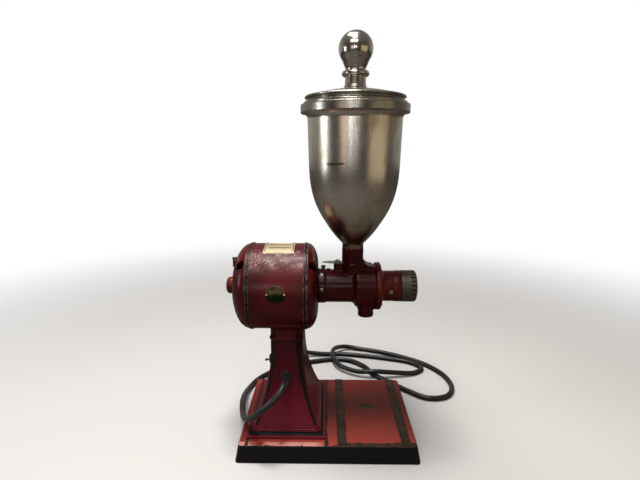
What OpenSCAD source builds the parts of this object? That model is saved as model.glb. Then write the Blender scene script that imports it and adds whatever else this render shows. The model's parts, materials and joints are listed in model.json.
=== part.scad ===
// Electric burr coffee mill for a shop counter: a cast base and column carry an
// enclosed motor, whose shaft drives a feed worm and a flat burr in the mill head.
// Millimetres. X runs along the motor shaft towards the adjusting ring, Y runs to
// the back, Z is up, and the origin is the centre of the base's underside.

/* [Base] */
// Width of the base along the shaft, at the counter
base_w = 374; // [360:1:400]
// Depth of the base from front to back, at the counter
base_d = 267; // [258:1:290]
// Height of the deck above the counter
deck_z = 36; // [32:1:42]
// How far each side of the base leans in
base_lean = 6.5; // [3:0.5:8]
// Radius of the base's upright corners
base_corner = 12; // [11:0.5:18]
// Thickness of the base casting
base_wall = 6; // [5:0.5:7]
// Thickness of the rubber pad under the base
pad_t = 2.5; // [2:0.25:3]
// Thickness of the steel bottom cover
cover_t = 1.5; // [1:0.25:2.5]
// Width of the two rails that locate a bag or a tray
rail_w = 18.5; // [12:0.5:22]
// Height of those rails above the deck
rail_h = 1.6; // [1:0.2:3]
// Left edge of the left rail
rail_x = 20; // [12:1:24]
// Distance between the left edges of the two rails
rail_pitch = 129; // [110:1:134]

/* [Column] */
// Centre of the column along the shaft
col_x = -86; // [-92:1:-84]
// Half the width of the column's upper part
col_w = 33; // [31:1:36]
// How much deeper than wide the column is, on each side
col_deeper = 27; // [24:1:30]
// Half the width of the column's foot
foot_w = 81; // [78:1:86]
// Half the width where the flared panels meet the foot
flare_w = 68; // [64:1:72]
// Height of the column's top above the counter
col_h = 237; // [228:1:238]
// Wall of the column casting
col_wall = 6; // [5:0.5:7]
// Size of the recess along each upright edge
col_notch = 11; // [8:0.5:12]
// Height of the cord's hole above the counter
cord_z = 156; // [148:1:165]
// Radius of the power cord
cord_r = 6.5; // [5:0.25:6.75]

/* [Motor] */
// Height of the shaft above the column's top
motor_over = 94; // [93:0.5:98]
// Outer radius of the motor housing
motor_r = 91; // [89:0.5:92]
// Wall of the motor housing
motor_wall = 5; // [4:0.5:6]
// Left end of the housing tube
motor_x0 = -157; // [-162:1:-155]
// Length of the housing tube
motor_len = 108; // [105:1:113]
// Length of the left end bell
bell_l = 43; // [40:1:46]
// Length of the right end bell
bell_r = 28; // [26:1:30]
// Height of the raised black band round each end bell
band_h = 1.6; // [1:0.2:2.4]
// Width of that band
band_w = 6; // [5:0.5:8]
// Radius of the drive shaft
shaft_r = 8; // [7:0.25:8.5]
// Radial clearance of the shaft in its bushes
running = 0.06; // [0.03:0.01:0.1]
// Outer radius of the bronze bushes
bush_r = 12; // [11:0.5:13]
// Outer radius of the bearing cap
cap_r = 18; // [17:0.5:20]

/* [Mill] */
// Outer radius of the neck
neck_r = 35; // [34:0.5:37]
// Where the burr chamber starts
chamber_x = 57; // [55:1:59]
// Outer radius of the burr chamber
chamber_r = 45; // [44:0.5:46]
// Inner radius of the burr chamber
burr_room_r = 39; // [38.5:0.5:40]
// Where the chamber ends and its cover starts
cover_x = 102; // [101:0.5:104]
// Outer radius of the cover's flange
flange_r = 50.5; // [49.5:0.5:52]
// Thickness of the cover's flange
flange_t = 11; // [9:0.5:12]
// Outer radius of the cover's nose
nose_r = 32.5; // [31.5:0.5:33]
// Length of the cover's nose
nose_l = 40; // [38:0.5:42]
// Radius of the burrs
burr_r = 36; // [35:0.5:36.5]
// Thickness of each burr
burr_t = 10; // [9:0.5:11]
// Gap between the burrs at the rest setting
burr_gap = 1.4; // [1.2:0.1:1.6]
// Bore that the feed worm turns in
worm_room_r = 21; // [20:0.5:22]
// Outer radius of the spout
spout_r = 16.8; // [16:0.1:17.5]
// Bore of the spout
spout_bore_r = 13; // [11:0.5:13.5]
// How far the spout's mouth is below the shaft
spout_drop = 67; // [63:1:73]
// Outer radius of the adjusting ring
ring_r = 33.5; // [33:0.5:34.5]
// Length of the adjusting ring
ring_l = 32; // [30:0.5:34]
// Number of grip notches round the adjusting ring
ring_notches = 22; // [12:1:26]

/* [Feed and hopper] */
// Centre of the feed tube and the hopper along the shaft
feed_x = 52; // [50:1:54]
// Outer radius of the feed tube
tube_r = 22.5; // [22:0.5:24]
// Bore of the feed tube
tube_bore_r = 17; // [16:0.5:17]
// Height of the feed tube's top above the shaft
tube_h = 85; // [83:1:91]
// Depth of the feed gate below that top
gate_drop = 33; // [31:1:35]
// Thickness of the feed gate
gate_t = 1.6; // [1.2:0.2:2]
// Radius of the hopper's straight side at its lower end
hopper_r = 91; // [86:1:92]
// Radius of the hopper under its rim
hopper_top_r = 94; // [93:0.5:96]
// Height of the hopper's curved part above the feed tube
hopper_bowl_h = 146; // [130:1:154]
// Height of its straight part with the rim
hopper_side_h = 140; // [132:1:150]
// Thickness of the hopper's metal
hopper_wall = 1.6; // [1.4:0.1:2]
// Outer radius of the rim band
band_r = 107.5; // [106:0.5:110]
// Height of the rim band
rim_h = 16; // [14:0.5:18]
// Outer radius of the lid
lid_r = 101.5; // [100:0.5:103]
// Radius of the ball on the lid's knob
ball_r = 33.4; // [31:0.2:35]

/* [Hidden] */
$fn = 96;
eps = 0.01;
fit = 0.05;
slide_gap = 0.3;
hull_fn = 32;
red = "#8c1a1c";
black = "#161514";
nickel = "#a39c90";
steel = "#8d8f92";
brass = "#b59a5a";
bronze = "#a8763e";
copper = "#a85f32";
rubber = "#24221f";
brown = "#4a2c1c";

// ---- heights that follow from the column's
axis_z = col_h + motor_over;
spout_z = axis_z - spout_drop;
tube_z = axis_z + tube_h;
gate_z = tube_z - gate_drop;
hopper_side_z = tube_z + hopper_bowl_h;
hopper_top_z = hopper_side_z + hopper_side_h;

// ---- fasteners
screw_r = 2;
screw_head_r = 3.6;
screw_head_h = 1.8;
bolt_r = 4;
bolt_head_r = 7;
bolt_head_h = 5;

// ---- base
pad_inset = 1.5;
cover_gap = 0.5;
lug_in = 30;
lug_r = 8;
deck_edge = 2.5;
edge_slope = 0.7;
rail_over = 0.5;
rail_d = base_d - 2 * (base_lean + deck_edge * edge_slope - rail_over);

// ---- column
bead_h = 6;
cove_h = 8;
cove_in = 6;
top_bead_h = 5;
flare_z0 = deck_z + bead_h + cove_h;
flare_z1 = col_h - 27;
ledge_h = 6;
ledge_out = 1.6;
top_t = 8;
flare_steps = 14;
lug_h = 30;
foot_bolt = [50, 78];
motor_bolt = [col_w - 15, col_w + col_deeper - 25];
motor_bolt_grip = 12;
wire_hole_r = 7;
wire_hole_y = 22;

// ---- cord gland and switch
pad_out = 6.5;
pad_in = 7;
gland_r = 10;
gland_flange_r = 12.5;
gland_flange_t = 2.5;
gland_tip_r = 8;
gland_nose = 17;
gland_tip_y = -(col_w + col_deeper + pad_out + gland_flange_t + gland_nose);
switch_z = cord_z + 4;
switch_r = 11;
switch_t = 4.5;
switch_neck_r = 6;
switch_box = [14, 24, 30];
switch_pad_x = col_x - col_w - pad_out;
lever_pivot = 2;
lever_ball_r = 2.6;
trunnion_l = 9;
trunnion_r = 1;
lever_l = 14;
lever_tilt = 13;
block_size = [24, 36, 18];
block_y = -10;
tail_bend_r = 20;

// ---- motor
motor_in_r = motor_r - motor_wall;
motor_x1 = motor_x0 + motor_len;
bell_x0 = motor_x0 - bell_l;
bell_x1 = motor_x1 + bell_r;
face_l_r = cap_r - 2;
face_r_r = 46;
bell_wall = 5;
bell_lip = 6;
hub_r = bush_r + 4.5;
bush_l = 28;
cap_len = 17;
cap_spigot_l = 4;
vent_w = 14;
vent_h = 17;
vent_l_x = bell_x0 + 23;
vent_r_x = bell_x1 - 9.5;
spigot_r = 30;
spigot_l = 15;
spigot_t = 6;
stator_in = 22;
stator_x0 = motor_x0 + stator_in;
stator_x1 = motor_x1 - stator_in;
stator_bore_r = 58;
air_gap = 0.6;
slot_r = 3.6;
slot_pcr = 63;
slots = 24;
coil_l = 11;
rod_r = 2.5;
rod_pcr = 76;
rod_angles = [60, 120, 240, 300];
nut_r = 4.5;
nut_t = 5;
fan_r = 50;
fan_l = 9;
fan_blades = 9;
oiler_x = bell_x0 + 3;
oiler_z = axis_z + 57;
oiler_boss_r = 6;
oiler_boss_l = 36;

// ---- mill head
chamber_back_x = cover_x - 2 * burr_t - burr_gap - 9;
turning_x0 = chamber_back_x + burr_t + burr_gap;
turning_x1 = turning_x0 + burr_t;
spout_x = chamber_back_x + burr_t + 0.4;
neck_x0 = bell_x1;
collar_r = neck_r + 2;
collar_l = 15;
web_x0 = neck_x0 + spigot_l + 0.5;
neck_bush_l = 20;
web_x1 = web_x0 + neck_bush_l + 2;
worm_r = worm_room_r - 0.8;
worm_core_r = shaft_r + 4;
worm_pitch = 24;
worm_wall = 5;
burr_bore_r = 22;
burr_screw_r = 30;
burr_nut_r = 11;
burr_nut_t = 5;
stub_r = shaft_r - 1.5;
shaft_x1 = turning_x1 + burr_nut_t + 1.5;
shaft_x0 = bell_x0 - 6;
ball_bearing_r = 4;
plunger_r = 12;
plunger_head_l = 8;
plunger_x0 = shaft_x1 + 2 * ball_bearing_r + 0.1;
cover_x1 = cover_x + flange_t + nose_l;
nose_bore_r = plunger_r + running;
ring_gap = 1.2;
ring_x0 = cover_x1 + ring_gap;
ring_x1 = ring_x0 + ring_l;
ring_face_t = 8;
sleeve_r = ring_r - 6;
sleeve_in_r = sleeve_r - 5;
sleeve_x1 = ring_x1 - ring_face_t - 3;
ring_hub_r = plunger_r - 1;
notch_l = 14;
notch_w = 2.6;
notch_d = 1.8;
cover_screw_pcr = (burr_room_r + chamber_r) / 2;
neck_screw_angles = [126, 176, 306, 356];
neck_screw_x = neck_x0 + 8;
neck_screw_l = 9;
cup_x = neck_x0 + 11;

// ---- gate, hopper and lid
blade_r = tube_bore_r + 0.5;
pivot_x = feed_x - tube_r - 9.5;
pivot_boss_r = 8;
pivot_bolt_r = 3;
gate_tip_x = neck_x0 + 7;
gate_open = 70;
gate_under = gate_z - gate_t / 2;
hopper_neck_z = tube_z + 9;
hopper_seat = 12;
hopper_neck_r = tube_r - 0.4;
hopper_spigot_r = tube_r - 2.5;
hopper_steps = 16;
seat_z = hopper_top_z;
lid_rim_h = 4.5;
lid_bead_z = seat_z + 15;
lid_top_z = seat_z + 31;
lid_t = 2.2;
knob_foot_r = 23;
stem_r = 20.6;
stem_l = 18;
knob_ring_r = 27;
neck_top_z = lid_top_z + 43;
ball_z = lid_top_z + 75;
stud_r = 4;

// ---- the cord's route, from the gland's tip to the plug
plug_from = [-72, 318, 16];
plug_r = 16;
plug_l = 50;
pin_l = 19;
pin_r = 2.4;
pin_apart = 19;
route = [
  [col_x, gland_tip_y, cord_z], [-88, -104, 154], [-98, -121, 144], [-116, -128, 126],
  [-138, -120, 103], [-158, -99, 79], [-175, -70, 57], [-187, -36, 45],
  [-196, 4, 42], [-202, 44, 32], [-206, 86, 18], [-203, 130, 8],
  [-186, 178, 6.5], [-148, 222, 6.5], [-98, 254, 6.5], [-42, 276, 6.5],
  [16, 290, 6.5], [66, 284, 6.5], [106, 250, 6.5], [130, 204, 6.5],
  [166, 166, 6.5], [208, 124, 6.5], [252, 92, 6.5], [302, 100, 6.5],
  [328, 144, 6.5], [322, 204, 6.5], [286, 262, 6.5], [232, 304, 6.5],
  [172, 336, 6.5], [110, 358, 6.5], [56, 364, 12], [22, 332, 20],
  [18, 284, 20], [36, 238, 16], [82, 206, 15], [134, 197, 20],
  [190, 202, 14], [242, 214, 7], [270, 242, 6.5], [242, 276, 6.5],
  [180, 298, 6.5], [112, 314, 6.5], [44, 325, 6.5], [-16, 322, 8],
  plug_from,
];

// ---- helpers
module along_x(x0, x1, r) {
  translate([x0, 0, axis_z]) rotate([0, 90, 0]) cylinder(h = x1 - x0, r = r);
}

module ring_x(x0, x1, r, hole_r) {
  difference() {
    along_x(x0, x1, r);
    along_x(x0 - 1, x1 + 1, hole_r);
  }
}

// a solid turned about the shaft from [x, radius] points
module turned_x(points) {
  translate([0, 0, axis_z]) rotate([0, 90, 0])
    rotate_extrude() polygon([for (p = points) [p[1], p[0]]]);
}

// a solid turned about the hopper's upright axis from [radius, z] points
module turned_z(points) {
  translate([feed_x, 0, 0]) rotate_extrude() polygon(points);
}

// places a child at an angle round the shaft, 90 degrees being the top
module around_x(angle, radius) {
  translate([0, 0, axis_z]) rotate([angle - 90, 0, 0]) translate([0, 0, radius])
    children();
}

module tapered_plate(w, d, corner, z0, z1, lean) {
  hull() for (sx = [-1, 1], sy = [-1, 1])
    translate([sx * (w / 2 - corner), sy * (d / 2 - corner), z0])
      cylinder(h = z1 - z0, r1 = corner, r2 = corner - lean, $fn = hull_fn);
}

module four(x, y, z) {
  for (sx = [-1, 1], sy = [-1, 1]) translate([sx * x, sy * y, z]) children();
}

function arc(cx, cy, r, a0, a1, steps) =
  [for (i = [0 : steps]) let (a = a0 + (a1 - a0) * i / steps)
    [cx + r * cos(a), cy + r * sin(a)]];

// ---- base
module base_outline(inset, z0, z1) {
  w = base_w - 2 * inset;
  d = base_d - 2 * inset;
  full_lean = base_lean * (z1 - z0) / deck_z;
  tapered_plate(w, d, base_corner - inset * 0.4, z0, z1, full_lean);
}

module base_lugs() {
  four(base_w / 2 - lug_in, base_d / 2 - lug_in, 0) children();
}

module base_casting() color(red) difference() {
  union() {
    difference() {
      union() {
        base_outline(0, pad_t, deck_z - deck_edge);
        hull() {
          base_outline(base_lean * (deck_z - deck_edge) / deck_z,
            deck_z - deck_edge - eps, deck_z - deck_edge);
          base_outline(base_lean + deck_edge * edge_slope, deck_z - eps, deck_z);
        }
      }
      base_outline(base_wall, pad_t - 1, deck_z - base_wall);
    }
    base_lugs() translate([0, 0, pad_t + cover_t])
      cylinder(h = deck_z - base_wall / 2 - pad_t - cover_t, r = lug_r);
    for (i = [0, 1]) translate([rail_x + i * rail_pitch, -rail_d / 2, deck_z - 1])
      cube([rail_w, rail_d, rail_h + 1]);
  }
  base_lugs() cylinder(h = deck_z - base_wall, r = screw_r + fit);
  translate([col_x, 0, 0]) four(foot_bolt[0], foot_bolt[1], 0)
    cylinder(h = deck_z + 1, r = bolt_r + fit);
}

module base_pad() color(rubber) difference() {
  base_outline(pad_inset, 0, pad_t);
  base_lugs() cylinder(h = pad_t + 1, r = screw_head_r + 1, center = false);
}

module bottom_cover() color(steel) difference() {
  base_outline(base_wall + cover_gap, pad_t, pad_t + cover_t);
  base_lugs() cylinder(h = deck_z, r = screw_r + fit);
}

module bottom_screws() color(steel) base_lugs() {
  translate([0, 0, pad_t - screw_head_h]) cylinder(h = screw_head_h, r = screw_head_r);
  translate([0, 0, pad_t - eps]) cylinder(h = 14, r = screw_r);
}

// ---- column
function flare(z) =
  z >= flare_z1 ? col_w
  : col_w + (flare_w - col_w) * pow((flare_z1 - z) / (flare_z1 - flare_z0), 2);

flare_zs = [for (i = [0 : flare_steps]) flare_z0 + (flare_z1 - flare_z0) * i / flare_steps];

// half widths of the column's outside, from the deck up
outside = concat(
  [[foot_w - 1, deck_z], [foot_w, deck_z + 1], [foot_w, deck_z + bead_h - 1],
   [foot_w - 1, deck_z + bead_h], [foot_w - cove_in, deck_z + bead_h],
   [foot_w - cove_in - 3, flare_z0 - 1], [flare_w + 3, flare_z0 - 1],
   [flare_w + 3, flare_z0 + top_bead_h]],
  [for (z = flare_zs) if (z > flare_z0 + top_bead_h + 1) [flare(z), z]],
  [[col_w, col_h - ledge_h], [col_w + ledge_out, col_h - ledge_h],
   [col_w + ledge_out, col_h]]
);

// half widths of the flared part alone, where its edges are recessed
inside = concat([[foot_w - cove_in, 0], [foot_w - cove_in, flare_z0 - cove_h]],
  [for (z = flare_zs) [flare(z), z]], [[col_w, col_h + 1]]);

function both_sides(half, grow) = concat(
  [for (p = half) [p[0] + grow, p[1]]],
  [for (i = [len(half) - 1 : -1 : 0]) [-half[i][0] - grow, half[i][1]]]
);

// what the width profile and the same profile made deeper have in common
module flared(half, grow_w, grow_d, tall) {
  intersection() {
    rotate([90, 0, 0]) linear_extrude(height = 2 * tall, center = true)
      polygon(both_sides(half, grow_w));
    rotate([90, 0, 90]) linear_extrude(height = 2 * tall, center = true)
      polygon(both_sides(half, grow_d));
  }
}

module recessed(half, grow, tall) {
  flared(half, grow - col_notch, grow + col_deeper, tall);
  flared(half, grow, grow + col_deeper - col_notch, tall);
}

module column_outside() {
  intersection() {
    flared(outside, 0, col_deeper, base_w);
    union() {
      translate([-base_w / 2, -base_w / 2, 0])
        cube([base_w, base_w, flare_z0 + top_bead_h]);
      recessed(inside, 0, base_w);
      translate([-base_w / 2, -base_w / 2, col_h - ledge_h])
        cube([base_w, base_w, ledge_h + 1]);
    }
  }
}

module column_room() {
  difference() {
    intersection() {
      recessed(inside, -col_wall, base_w);
      translate([-base_w, -base_w, deck_z - 1]) cube([2 * base_w, 2 * base_w,
        col_h - top_t - deck_z + 1]);
    }
    four(foot_bolt[0], foot_bolt[1], deck_z) cylinder(h = lug_h, r = 9);
    // flat seats inside the wall for the cord's gland and the switch
    translate([0, -(col_w + col_deeper + pad_out), cord_z]) rotate([-90, 0, 0])
      cylinder(h = pad_out + col_wall + pad_in, r = gland_flange_r + 3);
    translate([-col_w - pad_out, 0, switch_z]) rotate([0, 90, 0])
      cylinder(h = pad_out + col_wall + 5, r = 17);
  }
}

module column_casting() color(red) translate([col_x, 0, 0]) difference() {
  union() {
    difference() {
      column_outside();
      column_room();
    }
    translate([0, -(col_w + col_deeper + pad_out), cord_z]) rotate([-90, 0, 0])
      cylinder(h = pad_out + col_wall, r = gland_flange_r + 1);
    translate([-col_w - pad_out, 0, switch_z]) rotate([0, 90, 0])
      cylinder(h = pad_out + col_wall, r = switch_r + 1);
  }
  translate([0, -(col_w + col_deeper + pad_out) - 1, cord_z]) rotate([-90, 0, 0])
    cylinder(h = pad_out + col_wall + pad_in + 2, r = gland_r + fit);
  translate([-col_w - pad_out - 1, 0, switch_z]) rotate([0, 90, 0])
    cylinder(h = pad_out + col_wall + 10, r = switch_neck_r + fit);
  four(foot_bolt[0], foot_bolt[1], deck_z - 1) cylinder(h = 23, r = bolt_r + fit);
  four(motor_bolt[0], motor_bolt[1], col_h - top_t - 1)
    cylinder(h = top_t + 2, r = bolt_r + fit);
  translate([0, wire_hole_y, col_h - top_t - 1]) cylinder(h = top_t + 2, r = wire_hole_r);
}

module bolt_up(z, length) {
  translate([0, 0, z - bolt_head_h]) cylinder(h = bolt_head_h, r = bolt_head_r, $fn = 6);
  translate([0, 0, z - eps]) cylinder(h = length, r = bolt_r);
}

module column_bolts() color(steel) translate([col_x, 0, 0])
  four(foot_bolt[0], foot_bolt[1], 0) bolt_up(deck_z - base_wall, base_wall + 20);

module motor_bolts() color(steel) translate([col_x, 0, 0])
  four(motor_bolt[0], motor_bolt[1], 0) bolt_up(col_h - top_t, top_t + motor_bolt_grip);

// ---- cord gland, switch and wiring
module cord_gland() color(rubber)
  translate([col_x, 0, cord_z]) rotate([-90, 0, 0]) difference() {
    union() {
      translate([0, 0, gland_tip_y]) cylinder(h = gland_nose, r1 = gland_tip_r,
        r2 = gland_r);
      translate([0, 0, gland_tip_y + gland_nose])
        cylinder(h = gland_flange_t, r = gland_flange_r);
      translate([0, 0, gland_tip_y + gland_nose + gland_flange_t - eps])
        cylinder(h = pad_out + col_wall + pad_in, r = gland_r);
    }
    translate([0, 0, gland_tip_y - 1]) cylinder(h = 60, r = cord_r + fit);
  }

module cord_tail() color(rubber) {
  translate([col_x, gland_tip_y, cord_z]) rotate([-90, 0, 0])
    cylinder(h = block_y - tail_bend_r - gland_tip_y, r = cord_r - 0.5);
  translate([col_x, block_y - tail_bend_r, cord_z + tail_bend_r]) rotate([90, 0, 90])
    rotate_extrude(angle = -90) translate([tail_bend_r, 0]) circle(r = cord_r - 0.5);
  translate([col_x, block_y, cord_z + tail_bend_r])
    cylinder(h = col_h - top_t - block_size[2] - cord_z - tail_bend_r, r = cord_r - 0.5);
}

module terminal_block() color(brown)
  translate([col_x - block_size[0] / 2, block_y - block_size[1] / 2,
    col_h - top_t - block_size[2]]) cube(block_size);

module switch_body() color(black) translate([switch_pad_x, 0, switch_z])
  rotate([0, 90, 0]) difference() {
    union() {
      translate([0, 0, -switch_t]) cylinder(h = switch_t, r1 = switch_r - 1.5,
        r2 = switch_r);
      translate([0, 0, -eps]) cylinder(h = pad_out + col_wall + 5 + 2 * eps, r = switch_neck_r);
      translate([-switch_box[2] / 2, -switch_box[1] / 2, pad_out + col_wall + 5])
        cube([switch_box[2], switch_box[1], switch_box[0]]);
    }
    translate([0, 0, lever_pivot]) sphere(r = lever_ball_r + fit);
    translate([0, 0, lever_pivot]) rotate([90, 0, 0])
      cylinder(h = trunnion_l + 2 * fit, r = trunnion_r + fit, center = true);
    translate([0, 0, -switch_t - 1]) cylinder(h = switch_t + 1 + lever_pivot, r1 = 4.6, r2 = 2.4);
  }

module switch_lever() color(black)
  translate([switch_pad_x + lever_pivot, 0, switch_z]) rotate([0, -lever_tilt, 0]) {
    sphere(r = lever_ball_r, $fn = 32);
    rotate([90, 0, 0]) cylinder(h = trunnion_l, r = trunnion_r, center = true, $fn = 24);
    translate([-lever_l, 0, 0]) rotate([0, 90, 0])
      cylinder(h = lever_l, r1 = 2.2, r2 = 1.5, $fn = 32);
    translate([-lever_l, 0, 0]) sphere(r = 3, $fn = 32);
  }

// ---- motor
module motor_housing() color(red) difference() {
  union() {
    along_x(motor_x0, motor_x1, motor_r);
    for (n = [[col_notch, 0], [0, col_notch]])
      translate([col_x - col_w + n[0], -col_w - col_deeper + n[1], col_h])
        cube([2 * (col_w - n[0]), 2 * (col_w + col_deeper - n[1]), axis_z - col_h]);
  }
  along_x(motor_x0 - 1, motor_x1 + 1, motor_in_r);
  translate([col_x, 0, 0]) {
    four(motor_bolt[0], motor_bolt[1], col_h - 1)
      cylinder(h = motor_bolt_grip + 2, r = bolt_r + fit);
    translate([0, wire_hole_y, col_h - 1]) cylinder(h = axis_z - col_h, r = wire_hole_r);
  }
}

// outline of an end bell, from its flat face out to the housing: [x, radius]
function shoulder(x_face, x_rim, r_face, r_rim, steps) =
  [for (i = [0 : steps]) let (a = 90 * i / steps)
    [x_rim + (x_face - x_rim) * cos(a), r_face + (r_rim - r_face) * sin(a)]];

module vents(x) {
  for (a = [45, 135, 225, 315]) around_x(a, motor_r - 32)
    translate([x - vent_w / 2, -vent_h / 2, 0]) cube([vent_w, vent_h, 40]);
}

module bell_shell(x_face, x_rim, face_r, dir) {
  band = x_rim - dir * band_w;
  turned_x(concat(
    [[x_face, 0]], shoulder(x_face, band, face_r, motor_r, 12),
    [[band, motor_r + band_h], [x_rim, motor_r + band_h], [x_rim, motor_in_r - fit],
     [x_rim + dir * bell_lip, motor_in_r - fit],
     [x_rim + dir * bell_lip, motor_in_r - bell_wall]],
    [for (i = [12 : -1 : 0]) shoulder(x_face + dir * bell_wall, band, face_r - 2,
      motor_in_r - bell_wall, 12)[i]],
    [[x_face + dir * bell_wall, 0]]
  ));
}

module rod_bosses(x0, x1) {
  for (a = rod_angles) around_x(a, rod_pcr) translate([x0, 0, 0]) rotate([0, 90, 0])
    cylinder(h = x1 - x0, r = 7);
}

module rod_holes(x0, x1, r) {
  for (a = rod_angles) around_x(a, rod_pcr) translate([x0, 0, 0]) rotate([0, 90, 0])
    cylinder(h = x1 - x0, r = r);
}

seat_l_x = bell_x0 + 22;
seat_r_x = bell_x1 - 12;

module end_bell_left() color(red) difference() {
  union() {
    bell_shell_left();
    ring_x(bell_x0, bell_x0 + cap_spigot_l + bush_l, hub_r, bush_r + fit);
    intersection() {
      rod_bosses(seat_l_x, motor_x0);
      along_x(bell_x0, motor_x0 + bell_lip, motor_in_r - fit);
    }
    translate([oiler_x, 0, oiler_z - oiler_boss_l]) cylinder(h = oiler_boss_l, r = oiler_boss_r);
  }
  along_x(bell_x0 - 1, bell_x0 + cap_spigot_l + bush_l + 1, bush_r + fit);
  vents(vent_l_x);
  rod_holes(bell_x0 - 1, motor_x0 + 1, rod_r + 0.2);
  rod_holes(bell_x0 - 30, seat_l_x, nut_r + 0.8);
  translate([oiler_x, 0, oiler_z - 9]) cylinder(h = 10, r = cup_stem_r + fit);
  translate([oiler_x, 0, oiler_z]) cylinder(h = 20, r = cup_r + 0.6);
}

module bell_shell_left() bell_shell(bell_x0, motor_x0, face_l_r, 1);
module bell_shell_right() bell_shell(bell_x1, motor_x1, face_r_r, -1);

module end_bell_right() color(red) difference() {
  union() {
    bell_shell_right();
    along_x(bell_x1 - bush_l + 4, bell_x1, hub_r);
    ring_x(bell_x1 - eps, bell_x1 + spigot_l, spigot_r - fit, spigot_r - spigot_t);
    intersection() {
      rod_bosses(motor_x1, seat_r_x);
      along_x(motor_x1 - bell_lip, bell_x1, motor_in_r - fit);
    }
  }
  along_x(bell_x1 - bush_l - 1, bell_x1 + 1, bush_r + fit);
  vents(vent_r_x);
  rod_holes(motor_x1 - 1, bell_x1 + 1, rod_r + 0.2);
  rod_holes(seat_r_x, bell_x1 + 30, nut_r + 0.8);
  for (a = neck_screw_angles) around_x(a, 0) translate([neck_screw_x, 0, 0])
    cylinder(h = spigot_r + 1, r = screw_r + fit);
}

module tie_rods() color(steel) rod_holes(seat_l_x - 3, seat_r_x + 3, rod_r);

module tie_rod_nuts() color(steel) difference() {
  for (a = rod_angles) around_x(a, rod_pcr) rotate([0, 90, 0]) {
    translate([0, 0, seat_l_x - nut_t]) cylinder(h = nut_t, r = nut_r, $fn = 6);
    translate([0, 0, seat_r_x]) cylinder(h = nut_t, r = nut_r, $fn = 6);
  }
  rod_holes(seat_l_x - 8, seat_r_x + 8, rod_r + fit);
}

module bush_left() color(bronze)
  ring_x(bell_x0 + cap_spigot_l, bell_x0 + cap_spigot_l + bush_l, bush_r,
    shaft_r + running);

module bush_right() color(bronze)
  ring_x(bell_x1 - bush_l + 4, bell_x1, bush_r, shaft_r + running);

// domed cap over the left end of the shaft
module bearing_cap() color(red) difference() {
  turned_x(concat(
    [[bell_x0 + cap_spigot_l, 0], [bell_x0 + cap_spigot_l, bush_r], [bell_x0, bush_r],
     [bell_x0, cap_r - 1], [bell_x0 - 1, cap_r], [bell_x0 - cap_len + 9, cap_r]],
    [for (p = arc(bell_x0 - cap_len + 9, cap_r - 9, 9, 90, 180, 6)) p],
    [[bell_x0 - cap_len, 0]]
  ));
  along_x(shaft_x0 - 4, bell_x0 + cap_spigot_l + 1, shaft_r + 1);
}

module stator_slots(r, x0, x1) {
  for (i = [0 : slots - 1]) around_x((i + 0.5) * 360 / slots, slot_pcr)
    translate([x0, 0, 0]) rotate([0, 90, 0]) cylinder(h = x1 - x0, r = r, $fn = 24);
}

module stator_core() color(steel) difference() {
  ring_x(stator_x0, stator_x1, motor_in_r - fit, stator_bore_r);
  stator_slots(slot_r, stator_x0 - 1, stator_x1 + 1);
  rod_holes(stator_x0 - 1, stator_x1 + 1, rod_r + 0.2);
}

// coils: bars through the stator's slots, joined by a rounded ring at each end
module stator_winding() color(copper) {
  stator_slots(slot_r - 0.3, stator_x0 - 2, stator_x1 + 2);
  for (x = [stator_x0 - coil_l / 2, stator_x1 + coil_l / 2])
    translate([x, 0, axis_z]) rotate([0, 90, 0]) rotate_extrude()
      translate([slot_pcr, 0]) circle(r = coil_l / 2 - 0.4, $fn = 24);
}

module rotor_core() color(steel) difference() {
  union() {
    ring_x(stator_x0, stator_x1, stator_bore_r - air_gap, shaft_r + fit);
    for (x = [stator_x0 - 5, stator_x1 - 1])
      ring_x(x, x + 6, stator_bore_r - 3, stator_bore_r - 15);
  }
  for (i = [0 : 7]) around_x(i * 45, 27) translate([stator_x0 - 1, 0, 0])
    rotate([0, 90, 0]) cylinder(h = stator_x1 - stator_x0 + 2, r = 7);
}

fan_x0 = stator_x0 - 5 - 4 - fan_l;

module cooling_fan() color(steel) difference() {
  union() {
    along_x(fan_x0, fan_x0 + 2, fan_r);
    along_x(fan_x0, fan_x0 + fan_l, shaft_r + 6);
    intersection() {
      along_x(fan_x0, fan_x0 + fan_l, fan_r);
      for (i = [0 : fan_blades - 1]) around_x(i * 360 / fan_blades, 12)
        translate([fan_x0, -1, 0]) cube([fan_l, 2, fan_r]);
    }
  }
  along_x(fan_x0 - 1, fan_x0 + fan_l + 1, shaft_r + fit);
}

module drive_shaft() color(steel) {
  along_x(shaft_x0, turning_x0, shaft_r);
  along_x(turning_x0 - eps, shaft_x1, stub_r);
}

// ---- plates on the motor
module curved_plate(x0, x1, a0, a1, t) {
  intersection() {
    ring_x(x0, x1, motor_r + t, motor_r);
    translate([0, 0, axis_z]) rotate([0, 90, 0]) rotate([0, 0, 180])
      linear_extrude(height = 400, center = true) polygon(concat([[0, 0]],
        [for (i = [0 : 8]) let (a = a0 + (a1 - a0) * i / 8)
          [2 * motor_r * sin(a), -2 * motor_r * cos(a)]]));
  }
}

plate_x0 = -132;
plate_x1 = -69;
plate_a0 = 82;
plate_a1 = 118;
plate_t = 0.8;
badge_x = -102.5;
badge_w = 41;
badge_h = 34;
badge_a = 174;

module nameplate() color(brass) difference() {
  curved_plate(plate_x0, plate_x1, plate_a0, plate_a1, plate_t);
  plate_pin_places() cylinder(h = 10, r = 1 + fit, center = true);
}

module plate_pin_places() {
  for (x = [plate_x0 + 4, plate_x1 - 4], a = [plate_a0 + 2.5, plate_a1 - 2.5])
    around_x(a, motor_r) translate([x, 0, 0]) children();
  for (s = [-1, 1]) around_x(badge_a, motor_r)
    translate([badge_x + s * (badge_w / 2 - 1), 0, 0]) children();
}

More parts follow.
